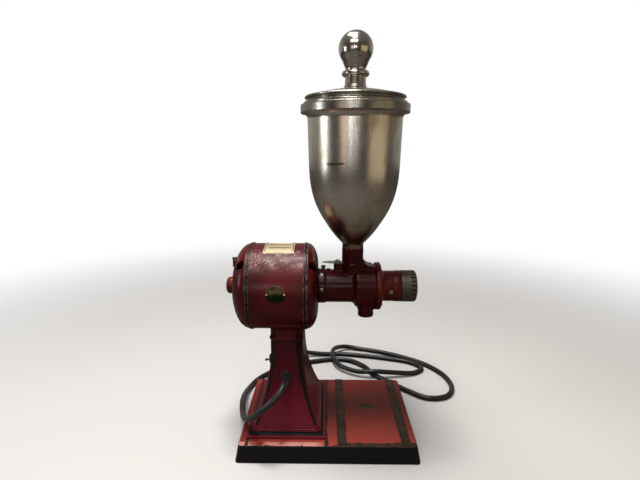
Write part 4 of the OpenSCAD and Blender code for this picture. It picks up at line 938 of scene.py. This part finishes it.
left_x0, right_x1 = barrel_x0 - 43.0, barrel_x1 + 28.0
bell_left = bell("bell left", left_x0, barrel_x0, 16, 1)
bell_right = bell("bell right", right_x1, barrel_x1, 46, -1)
for piece, x in ((bell_left, left_x0 + 23), (bell_right, right_x1 - 9.5)):
    cut(piece, vent_cutters(x))
oiler_x, oiler_top = left_x0 + 3, 388.0
oiler_boss = upright("oiler boss", rounded([(372, 0), (372, 6), (oiler_top, 6, 0.8),
                                            (oiler_top, 0)]), oiler_x, 32)
bell_left = join("bell left", [bell_left, oiler_boss])


def band_trim(x0, x1):
    """Black on the raised band between two places along the shaft."""
    out = 91.2
    return lambda x, y, z: float(x0 - 0.4 < x < x1 + 0.4 and math.hypot(y, z - shaft_z) > out)


for piece, node, x in ((bell_left, "end_bell_left", barrel_x0 - band_w),
                       (bell_right, "end_bell_right", barrel_x1)):
    dress(piece, node, "bell", trim=band_trim(x, x + band_w))
cap_x0 = box_mm("bearing_cap")[0].x
seat_x = left_x0 + 0.2
cap_line = rounded([(seat_x, 0), (seat_x, cap_r), (cap_x0, cap_r, 8.5), (cap_x0, 0)], 8)
dress(on_shaft("bearing cap", cap_line, 64, gap=2.5), "bearing_cap", "cap")

# %% [markdown]
# ## The mill body
# The neck, the grinding chamber, the feed tube, the fillet between them and the spout
# are one casting. As shells they would meet in hard lines, so they are melted together
# with a voxel remesh and softened, which gives the small round fillets of a sand
# casting. The bores are cut afterwards, so they stay crisp.

# %% Mill body
neck_x0, neck_r, collar_r, collar_l = -21.0, 35.0, 37.0, 15.0
tube_top = box_mm("mill_body")[1].z
collar_x1 = neck_x0 + collar_l
chamber = on_shaft("chamber", [
    (neck_x0, 0), (neck_x0, collar_r - 0.6), (neck_x0 + 0.6, collar_r), (collar_x1 - 0.8, collar_r),
    (collar_x1, neck_r + 1), (collar_x1 + 0.6, neck_r), (49, neck_r), (53, 36.5), (56, 40),
    (57, 42), (59, 44.4), (61, 45), (98, 45), (99, 49.5), (100, 50.5), (101.9, 50.5),
    (101.9, 0)], 128, gap=3)
feed_tube = upright("feed tube", [(shaft_z, 0), (shaft_z, 22.5), (tube_top - 0.8, 22.5),
                                  (tube_top, 21.7), (tube_top, 0)], feed_x, 96, gap=3)
web_line = [(feed_x, shaft_z)] + [(x + feed_x, z) for x, z in
                                  arc(40.5, shaft_z + 67, 20, 180, 270, 10)]
web_line += [(97, shaft_z + 44), (97, shaft_z)]
web_half = 18.5
web = lofted("web", [[(x, y, z) for x, z in dense(web_line, 4, closed=True)]
                     for y in (-web_half, web_half)])
gate_x, gate_z = 20.0, 382.2
boss = upright("gate boss", [(shaft_z, 0), (shaft_z, 8), (gate_z - 0.3, 8), (gate_z - 0.3, 0)],
               gate_x, 48, gap=3)
bridge = lofted("bridge", [rectangle((feed_x - gate_x) / 2, 8, 0.5, z, ((feed_x + gate_x) / 2, 0))
                           for z in (shaft_z, gate_z - 10, gate_z - 0.3)])
spout_x, spout_z = 82.0, 264.0
spout = upright("spout", [(spout_z, 0), (spout_z, 16.3), (spout_z + 0.6, 16.8),
                          (spout_z + 14, 16.8), (spout_z + 15.5, 18.6), (shaft_z, 18.6),
                          (shaft_z, 0)], spout_x, 96, gap=3)
mill = fused(join("mill", [chamber, feed_tube, web, boss, bridge, spout]),
             voxel_mm=1.05, rounds=5)

# %% Bores of the mill body
bores = [on_shaft("room", [(71.6, 0), (71.6, 39), (104, 39), (104, 0)], 96),
         upright("feed bore", [(shaft_z, 0), (shaft_z, 17), (tube_top - 12, 17),
                               (tube_top - 12, 20.2), (tube_top + 4, 20.2), (tube_top + 4, 0)],
                 feed_x, 64),
         upright("spout bore", [(spout_z - 3, 0), (spout_z - 3, 13), (shaft_z, 13), (shaft_z, 0)],
                 spout_x, 64),
         on_shaft("worm bore", [(neck_x0 - 2, 0), (neck_x0 - 2, 21), (72, 21), (72, 0)], 64),
         lofted("gate slot", [rectangle(18.0, 24.5, 1, z, (feed_x - 1, 0))
                              for z in (gate_z - 0.4, gate_z + 2.0)])]
mill = cut(mill, bores)
dress(mill, "mill_body", "mill", smooth=50)

# %% Chamber cover
cover_x0, nose_r = 102.0, 32.5
groove_x, groove_r = 136.8, 28.4  # room for the adjusting ring's sleeve
cover_line = [(cover_x0, 26), (cover_x0, 50.5)] + arc(cover_x0 + 5, 46.5, 4.5, 90, 0, 6)[1:]
cover_line += rounded([(113, 46), (113, 36.5), (116, 33.5, 3), (118, nose_r), (141, nose_r),
                       (142, nose_r + 0.7), (153, nose_r + 0.7, 0.5),
                       (153, groove_r), (groove_x, groove_r), (groove_x, 26)])[1:]
cover = on_shaft("cover", cover_line, 128, closed=True, gap=3)
dress(cover, "chamber_cover", "cover", smooth=35)

# %% [markdown]
# ## What repeats round the shaft
# Screws, pins and the lands of the adjusting ring repeat about the shaft's line. Copies
# could be placed by a Python loop. A node tree says the rule once instead: one source
# mesh, a count, a pitch and a start angle, and the copies turned about the line.

# %% Node tree: turn copies
def turn_copies_tree():
    tree = bpy.data.node_groups.new("turn copies", "GeometryNodeTree")
    for name, kind in (("Geometry", "NodeSocketGeometry"), ("Count", "NodeSocketInt"),
                       ("Pitch", "NodeSocketFloat"), ("Start", "NodeSocketFloat"),
                       ("Line height", "NodeSocketFloat"), ("Finish", "NodeSocketMaterial")):
        tree.interface.new_socket(name, in_out="INPUT", socket_type=kind)
    tree.interface.new_socket("Geometry", in_out="OUTPUT", socket_type="NodeSocketGeometry")
    given = Lead(tree).make("NodeGroupInput").socket.node
    source, count, pitch, start, height, finish = [Lead(tree, s) for s in given.outputs[:6]]
    lift = height.make("ShaderNodeCombineXYZ", {}, {2: height})
    drop = height.make("ShaderNodeCombineXYZ", {}, {2: height * -1.0})
    spots = count.make("GeometryNodePoints", {}, {"Count": count})
    lowered = source.make("GeometryNodeTransform", {}, {"Geometry": source, "Translation": drop})
    index = count.make("GeometryNodeInputIndex")
    angle = index * pitch + start
    turn = angle.make("ShaderNodeCombineXYZ", {}, {0: angle})
    copies = spots.make("GeometryNodeInstanceOnPoints", {},
                        {"Points": spots, "Instance": lowered, "Rotation": turn})
    real = copies.make("GeometryNodeRealizeInstances", {}, {0: copies})
    lifted = real.make("GeometryNodeTransform", {}, {"Geometry": real, "Translation": lift})
    dressed = lifted.make("GeometryNodeSetMaterial", {}, {"Geometry": lifted, "Material": finish})
    dressed.make("NodeGroupOutput", {}, {0: dressed})
    return tree


TURN_COPIES = turn_copies_tree()


def turn_copies(piece, count, pitch, start, finish):
    """Copies of the piece about the shaft. Pitch and start are in degrees."""
    change = piece.modifiers.new("turn copies", "NODES")
    change.node_group = TURN_COPIES
    given = {"Count": count, "Pitch": math.radians(pitch), "Start": math.radians(start),
             "Line height": shaft_z * MM, "Finish": FINISH[finish]}
    for item in TURN_COPIES.interface.items_tree:
        if item.name in given:
            change[item.identifier] = given[item.name]
    return baked(outward(piece))

# %% Screws of the neck and of the cover
def slotted_head(name, r, h, slot_w=1.0):
    """A domed head with a slot, standing on the top of the shaft's circle."""
    head = turned(name, rounded([(0, 0), (0, r), (h, r, h * 0.7), (h * 1.15, 0)], 5), "z",
                  segments=32, gap=1.2)
    bar = lofted("slot", [[(-r, -slot_w / 2, z), (r, -slot_w / 2, z), (r, slot_w / 2, z),
                           (-r, slot_w / 2, z)] for z in (h * 0.5, h * 2)])
    return cut(head, [bar])


def place_on_circle(piece, x, radius, along_shaft=False):
    """Moves a head to the top of the circle; along_shaft turns it to face +X."""
    turn = Matrix.Rotation(math.radians(90), 4, "Y") if along_shaft else Matrix()
    piece.data.transform(Matrix.Translation((x * MM, 0, (shaft_z + radius) * MM)) @ turn)
    return piece


def head_at(head, x, radius, angle, finish):
    """One head on the shaft's circle. Angle 0 is the back, 90 the top, 180 the front."""
    return turn_copies(place_on_circle(head, x, radius), 1, 0, angle - 90, finish)


neck_heads = [head_at(slotted_head("neck head", 3.6, 2.2), neck_x0 + 8, collar_r - 0.6, angle,
                      "nickel") for angle in (126, 176, 306, 356)]
dress(join("neck screw heads", neck_heads), "neck_screws", "nickel", smooth=35)
cover_head = place_on_circle(slotted_head("cover heads", 4.4, 2.0, 1.2), 111.6, 42, True)
cover_heads = turn_copies(cover_head, 4, 90, 45, "dark steel")
dress(cover_heads, "cover_screws", "dark steel", smooth=35)

# %% Adjusting ring
ring_x0, ring_x1, ring_r, ring_notches = 154.2, 186.2, 33.5, 22
notch_w, notch_d, notch_l = 2.6, 1.8, 14.0
notch_x = ring_x1 - notch_l
face_x, sleeve_x, sleeve_r = ring_x1 - 5.0, 139.0, 27.5  # the sleeve runs in the cover's groove
ring_core = on_shaft("ring core", rounded([
    (face_x, 0), (face_x, 23), (sleeve_x, 23), (sleeve_x, sleeve_r), (ring_x0, sleeve_r),
    (ring_x0, ring_r, 0.7), (notch_x, ring_r), (notch_x, ring_r - notch_d),
    (ring_x1 - 2.3, ring_r - notch_d, 1.0), (ring_x1, ring_r - 4.0, 1), (ring_x1, 11),
    (ring_x1 - 3, 9.5), (ring_x1 - 3, 0)]), 132, gap=2.5)
pitch = 360 / ring_notches
half_land = (math.radians(pitch) * ring_r - notch_w) / 2 / ring_r
land_line = rounded([(notch_x - 1, ring_r - 3), (notch_x - 1, ring_r), (ring_x1 - 2.6, ring_r, 1.2),
                     (ring_x1 - 0.2, ring_r - 2.8, 1), (ring_x1 - 0.2, ring_r - 5)], 3)
land_rings = []
for t, dip in ((-1, 0.5), (-0.86, 0.12), (-0.6, 0), (0, 0), (0.6, 0), (0.86, 0.12), (1, 0.5)):
    swing = t * half_land
    land_rings.append([(x, (r - dip) * math.sin(swing), shaft_z + (r - dip) * math.cos(swing))
                       for x, r in land_line])
lands = turn_copies(lofted("land", land_rings), ring_notches, pitch, 0, "ring")


def painted_notch_shade(x, y, z):
    """Painted shade: the notch floors, between the lands, are darkened."""
    depth = ring_r - math.hypot(y, z - shaft_z)
    return float(notch_x - 0.5 < x < ring_x1 - 2.6 and depth > 1.2)


dress(join("adjusting ring", [ring_core, lands]), "adjusting_ring", "ring", smooth=32,
      trim=painted_notch_shade)

# %% [markdown]
# ## The hopper
# The bowl is spun from sheet and nickel plated, so its outline is a smooth curve into a
# straight side, with the marks of the spinning round it. The drawn outline bends where
# its two parts meet, and polished metal shows that as a highlight that stops short, so
# the outline is averaged over a short reach. The lid and its knob are turned.

# %% Bowl
bowl_low, bowl_high, side_top = 425.0, 562.0, 678.0
bowl_r0, bowl_r1, side_r, wall, ease = 22.1, 91.0, 94.0, 1.6, 42.0


def sheet(z):
    """Radius of the drawn outline: a parabola, then a straight side that widens a little."""
    u = max(0.0, (bowl_high - z) / (bowl_high - bowl_low))
    flare = max(0.0, z - bowl_high) / (side_top - bowl_high)
    return bowl_r0 + (bowl_r1 - bowl_r0) * (1 - u * u) + (side_r - bowl_r1) * flare


def bowl(z):
    """The mean of the outline just above and below, as spun sheet has no sudden bend."""
    reach = min(ease, z - bowl_low, side_top - z)
    return sum(sheet(z + reach * k / 8) for k in range(-8, 9)) / 17


bowl_zs = [bowl_low + (side_top - bowl_low) * k / 56 for k in range(57)]
outer_side = [(404.2, 19.9), (416.2, 19.9), (416.2, bowl_r0), (bowl_low, bowl_r0)]
outer_side += [(z, bowl(z)) for z in bowl_zs[1:]] + [(683, 97), (687, 105), (699, 105.2)]
inner_side = [(699, 103.6), (689, 103.6), (685, 96)]
inner_side += [(z + wall * 0.5, bowl(z) - wall) for z in bowl_zs[:0:-1] if bowl(z) > 24]
inner_side += [(424, 17), (404.2, 17)]
hopper = upright("hopper", outer_side + inner_side, feed_x, 160, closed=True, gap=5)
dress(hopper, "hopper", "hopper", smooth=50)

# %% Rim band and lid
rim_z0, rim_z1, band_r, lid_r = 686.0, 702.0, 107.5, 101.5
rim = upright("hopper rim", rounded([(rim_z0, 105.5), (rim_z0, band_r, 1.2), (rim_z1, band_r, 1.6),
                                     (rim_z1, 95.6), (rim_z1 - 2, 95.6), (rim_z1 - 2, 105.5)],
                                    closed=True), feed_x, 160, closed=True, gap=3)
dress(rim, "hopper_rim", "lid")
lid_outer = [(0, lid_r), (4.5, lid_r), (6.5, 96.5), (8.5, 95.5), (11.5, 97), (12.5, 99.1),
             (14.5, 99.5), (16.2, 97.5), (17.4, 91.5), (20.6, 77.5), (25, 57.5), (28.6, 37),
             (31, 25)]
lid_line = rounded([(rim_z1 + z, r, 1.0) for z, r in lid_outer], 4)
lid_line = [(rim_z1 - 5.8, 0), (rim_z1 - 5.8, 94.8), (rim_z1 + 0.1, 94.8)] + lid_line + [(733, 0)]
lid = upright("lid", lid_line, feed_x, 160, gap=4)
dress(lid, "hopper_lid", "lid", smooth=35)

# %% Knob: a foot, a waist with a bead, and a ball
ball_z, ball_r = 805.8, 33.4
knob_line = rounded([(733.1, 0), (733.1, 23, 0.4), (735, 22.8, 0.5), (740, 20.8, 2),
                     (754, 20.2, 0.5)], 5)
knob_line += arc(760.3, 21.6, 5.4, 195, -15, 16) + [(766.8, 19.6), (771, 20.6)]
knob_line += [(z, r) for r, z in arc(0, ball_z, ball_r, -36, 90, 30)]
knob_line[-1] = (ball_z + ball_r, 0)
knob = upright("lid knob", knob_line, feed_x, 112, gap=3)
dress(knob, "lid_knob", "knob", smooth=45)

# %% [markdown]
# ## Plates
# The nameplate and the badge are thin brass, bent to the barrel and pinned. They are
# grids wrapped on the cylinder. Their faces carry no words: the plate has an empty
# frame with plain rules, and the badge has plain rings, as worn stampings would show.

# %% Nameplate
def wrapped(name, rings, x, angle):
    """Rings of (across, along, height) in mm, wrapped on the barrel about one spot."""
    bent = []
    for ring in rings:
        turns = [math.radians(angle) + v / barrel_r for _, v, _ in ring]
        bent.append([(x + u, (barrel_r + h) * math.cos(t), shaft_z + (barrel_r + h) * math.sin(t))
                     for t, (u, _, h) in zip(turns, ring)])
    return lofted(name, bent)


PLATE_STEPS = [(0, 0.5), (0.3, 0.8), (1.6, 0.8), (1.9, 0.5), (3.2, 0.5), (3.4, 0.75), (4.0, 0.75),
               (4.2, 0.5), (8, 0.5)]


def plate_height(inset):
    """The plate's face stands 0.5 mm up, with a raised edge and a raised frame line."""
    for (a, low), (b, high) in zip(PLATE_STEPS, PLATE_STEPS[1:]):
        if inset <= b:
            return low + (high - low) * (inset - a) / (b - a)
    return PLATE_STEPS[-1][1]


def plate_stops(half):
    """Places across the plate: all the steps of its edge, and every 3 mm between."""
    edge = [half - inset for inset, _ in PLATE_STEPS]
    inner = [half - 8 - 3 * k for k in range(1, int((half - 8) / 3) + 1)]
    return sorted({round(side * v, 3) for v in edge + inner for side in (-1, 1)})


half_u, half_v, plate_x, plate_angle = 31.4, 28.4, -100.5, 100.0
plate_sections = []
for v in plate_stops(half_v):
    section = [(-half_u, v, 0.02)]
    section += [(u, v, plate_height(min(half_u - abs(u), half_v - abs(v))))
                for u in plate_stops(half_u)]
    plate_sections.append(section + [(half_u, v, 0.02)])
plate = wrapped("plate", plate_sections, plate_x, plate_angle)


def plate_lines(x, y, z):
    """Empty ruled fields: two frame lines, and three rules across the middle."""
    u = abs(x - plate_x)
    v = abs(math.atan2(z - shaft_z, y) - math.radians(plate_angle)) * barrel_r
    inset = min(half_u - u, half_v - v)
    return 1.0 if 1.7 < inset < 3.3 or (u < 22 and min(abs(v), abs(v - 9)) < 0.8) else 0.0


dress(plate, "nameplate", "brass", smooth=25, trim=plate_lines)

# %% Badge
badge_x, badge_angle, badge_u, badge_v = -102.5, 174.0, 20.0, 16.6
badge_z = shaft_z + barrel_r * math.sin(math.radians(badge_angle))


def oval(scale, height):
    """A ring that is a little fuller than an ellipse at its sides."""
    ring = []
    for k in range(72):
        c, s = math.cos(2 * math.pi * k / 72), math.sin(2 * math.pi * k / 72)
        u = badge_u * math.copysign(abs(c) ** 0.86, c)
        v = badge_v * math.copysign(abs(s) ** 1.05, s)
        ring.append((u * scale, v * scale, height))
    return ring


def badge_dark(x, y, z):
    """Old polish lies dark between the badge's rings."""
    across = math.hypot((x - badge_x) / badge_u, (z - badge_z) / badge_v)
    return 0.6 if 0.76 < across < 0.88 else 0.0


badge = wrapped("badge", [oval(*p) for p in (
    (1.0, 0.05), (1.0, 0.8), (0.975, 1.05), (0.93, 1.05), (0.90, 0.6), (0.80, 0.55), (0.78, 0.85),
    (0.74, 0.9), (0.71, 0.55), (0.56, 0.6), (0.42, 0.85), (0.25, 1.0), (0.08, 1.05))],
    badge_x, badge_angle)
dress(badge, "badge", "old brass", smooth=30, trim=badge_dark)

# %% Pins of both
pin_spots = [(x, 0.8, angle) for x in (-128, -73) for angle in (84.5, 115.5)]
pin_spots += [(badge_x + side * 17.4, 0.9, badge_angle) for side in (-1, 1)]
pins = [head_at(slotted_head("pin", 1.8, 0.9, 0.01), x, barrel_r + up, angle, "brass")
        for x, up, angle in pin_spots]
dress(join("plate pins", pins), "plate_pins", "brass", smooth=35)

# %% [markdown]
# ## Small fittings
# The cord's gland, the toggle switch, the oilers, the lock screw and the feed gate are
# small, but a close look finds them. They are turned or cut from outlines, with the
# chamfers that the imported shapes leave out.

# %% Cord gland and switch
def turned_towards(name, outline, at, heading, segments=48):
    """A turned piece whose axis points along the heading, from the place at."""
    piece = turned(name, outline, "z", segments=segments, gap=1.5)
    turn = Vector(heading).to_track_quat("Z", "Y").to_matrix().to_4x4()
    piece.data.transform(Matrix.Translation(Vector(at) * MM) @ turn)
    return piece


gland_line = rounded([(-8, 6.9), (-8, 9.5), (0, 9.5), (0, 12.3, 0.6), (2.4, 12.3, 0.9),
                      (3.0, 8.8, 0.8), (19.3, 7.3, 0.6), (19.5, 6.8)])
gland = turned_towards("gland", gland_line, (column_x, gland_y, gland_z), (0, -1, 0))
dress(gland, "cord_gland", "rubber")
switch_line = rounded([(-6, 0), (-6, 9), (0, 9), (0, 11, 0.4), (3.2, 10.2, 0.8), (4.5, 8.2, 0.6),
                       (4.5, 4.2, 0.5), (2.5, 2.6), (2.5, 0)])
switch = turned_towards("switch", switch_line, (switch_x, 0, switch_z), (-1, 0, 0))
dress(switch, "switch_body", "bakelite")
tilt = math.radians(13)
lever_line = rounded([(-3, 0), (-2.4, 1.9, 1), (0, 3, 1), (2.4, 2.1, 1), (11, 1.5, 1),
                      (12.2, 2.4, 1), (14.2, 3, 1.5), (16.4, 2.2, 1), (17, 0)])
lever = turned_towards("switch lever", lever_line, (switch_x + 2, 0, switch_z),
                       (-math.cos(tilt), 0, -math.sin(tilt)))
dress(lever, "switch_lever", "bakelite")

# %% Oiler, plug and lock screw of the mill
def hexagon(x, r, levels, turn=0):
    """A six-sided head at x. Each level is (what its corners lose, its height)."""
    corners = [math.radians(60 * k + turn) for k in range(6)]
    return lofted("hex", [[(x + (r - c) * math.cos(t), (r - c) * math.sin(t), z) for t in corners]
                          for c, z in levels])


neck_oiler_x, neck_plug_x, lock_x, lock_angle = -10, 1, 131, 186
neck_cup = upright("neck oiler", rounded([(361.5, 0), (361.5, 3), (367.6, 3), (367.6, 3.2),
                                          (371.4, 3.2), (371.4, 5, 0.6), (375, 5, 1),
                                          (376, 3, 0.8), (376, 0)]), neck_oiler_x, 40, gap=1.2)
nut = hexagon(neck_oiler_x, 4.6, ((0.4, 365), (0, 365.4), (0, 367.1), (0.4, 367.5)))
dress(join("neck oiler", [neck_cup, nut]), "neck_oiler", "black brass", smooth=25)
plug_head = upright("neck plug", rounded([(361.5, 0), (361.5, 3), (365, 3), (365, 5, 0.4),
                                          (368.5, 4.8, 1.2), (368.5, 0)]), neck_plug_x, 40, gap=1.2)
dress(plug_head, "neck_plug", "mill")
lock = head_at(slotted_head("lock screw", 4.2, 2.0, 1.1), lock_x, nose_r, lock_angle, "nickel")
dress(lock, "lock_screw", "nickel", smooth=35)

# %% Oil cup on the motor, with its lid
cup = upright("oil cup", rounded([(380, 0), (380, 3), (388.1, 3), (388.1, 5, 0.5), (391, 5, 0.3),
                                  (391, 3.6), (389, 3.4), (389, 0)]), oiler_x, 40, gap=1.2)
knuckle = lofted("knuckle", [rectangle(1.4, 1.5, 0.4, z, (oiler_x - 5.4, 0))
                             for z in (388.2, 390.9)])
dress(join("oil cup", [cup, knuckle]), "motor_oil_cup", "old brass")
lid_low, lid_high = (corner.z for corner in box_mm("motor_oil_lid"))
cup_lid = upright("oil lid", rounded([(lid_low, 0), (lid_low, 5, 0.3), (lid_high - 0.2, 5, 0.7),
                                      (lid_high, 0)], 5), oiler_x, 40, gap=1.2)
ear = lofted("ear", [rectangle(1.9, 1.5, 0.5, z, (oiler_x - 5.0, 0))
                     for z in (lid_low + 0.05, lid_high - 0.25)])
dress(join("oil lid", [cup_lid, ear]), "motor_oil_lid", "old brass")

# %% Feed gate and its pivot
leaf_line = [(x + feed_x, y) for x, y in arc(0, 0, 17.5, -118, 118, 24)]
leaf_line += [(36, 8), (20, 8, 2), (10, 9.5, 3), (4, 8.5, 3), (-6, 3.5, 2), (-14, 0, 1.2),
              (-6, -3.5, 2), (4, -8.5, 3), (10, -9.5, 3), (20, -8, 2), (36, -8)]
leaf_line = rounded(leaf_line, 4, closed=True)
leaf = lofted("feed gate", [[(x, y, z) for x, y in leaf_line] for z in (gate_z, gate_z + 1.6)])
dress(leaf, "feed_gate", "nickel", smooth=30)
bolt_line = rounded([(368, 0), (368, 2.9), (gate_z + 1.7, 2.9), (gate_z + 1.7, 7, 0.3),
                     (gate_z + 2.7, 7, 0.4), (gate_z + 2.7, 0)])
bolt = upright("gate pivot", bolt_line, gate_x, 40, gap=1.5)
bolt_hex = hexagon(gate_x, 5.2, ((0, gate_z + 2.6), (0, gate_z + 5.0), (0.6, gate_z + 5.9)), 12)
dress(join("gate pivot", [bolt, bolt_hex]), "gate_pivot", "steel", smooth=25)

# %% Plug at the far end of the cord
plug_at = cord_line[-1] / MM
body_line = rounded([(0, 6.6), (0, 9, 0.6), (2, 9), (3, 8.2), (4, 8.2), (5, 9.2), (8, 9.4),
                     (14, 11, 3), (24, 15.4, 3), (49, 16, 1.5), (50, 13, 0.5), (50, 0)])
plug = turned_towards("plug body", [(0, 0)] + body_line, plug_at, (-1, 0, 0), 64)
dress(plug, "plug_body", "rubber", smooth=50)
prong_line = rounded([(49, 0), (49, 2.4), (67, 2.4, 0.8), (69, 1.4, 0.6), (69, 0)])
prongs = [turned_towards("prong", prong_line, plug_at + Vector((0, side * 9.5, 0)), (-1, 0, 0), 32)
          for side in (-1, 1)]
prongs = dress(join("plug pins", prongs), "plug_pins", "nickel")

# %% [markdown]
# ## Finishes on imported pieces
# The pieces inside the motor and the mill already have their real shape, so they keep
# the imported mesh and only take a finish.

# %% Inner pieces keep their mesh
KEPT = {
    "steel": "stator_core rotor_core cooling_fan drive_shaft tie_rods tie_rod_nuts feed_worm "
             "fixed_burr rotating_burr burr_screws burr_nut thrust_ball thrust_plunger knob_stud "
             "column_bolts motor_bolts bottom_screws",
    "dark steel": "bottom_cover",
    "copper": "stator_winding",
    "bronze": "bush_left bush_right neck_bush",
    "bakelite": "terminal_block",
    "pad": "base_pad",
    "rubber": "cord_tail",
}
for finish, names in KEPT.items():
    for name in names.split():
        node = frame["nodes"][name]
        node.data.materials.clear()
        node.data.materials.append(FINISH[finish])
shown = {n for n, o in frame["nodes"].items() if not o.hide_render}
print("still plain:", sorted(shown - set(" ".join(KEPT.values()).split()) - {"power_cord"}))

# %% The cord on its gland
cord_data.materials.append(FINISH["rubber"])
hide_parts("power_cord")
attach(cord, "mill_frame")
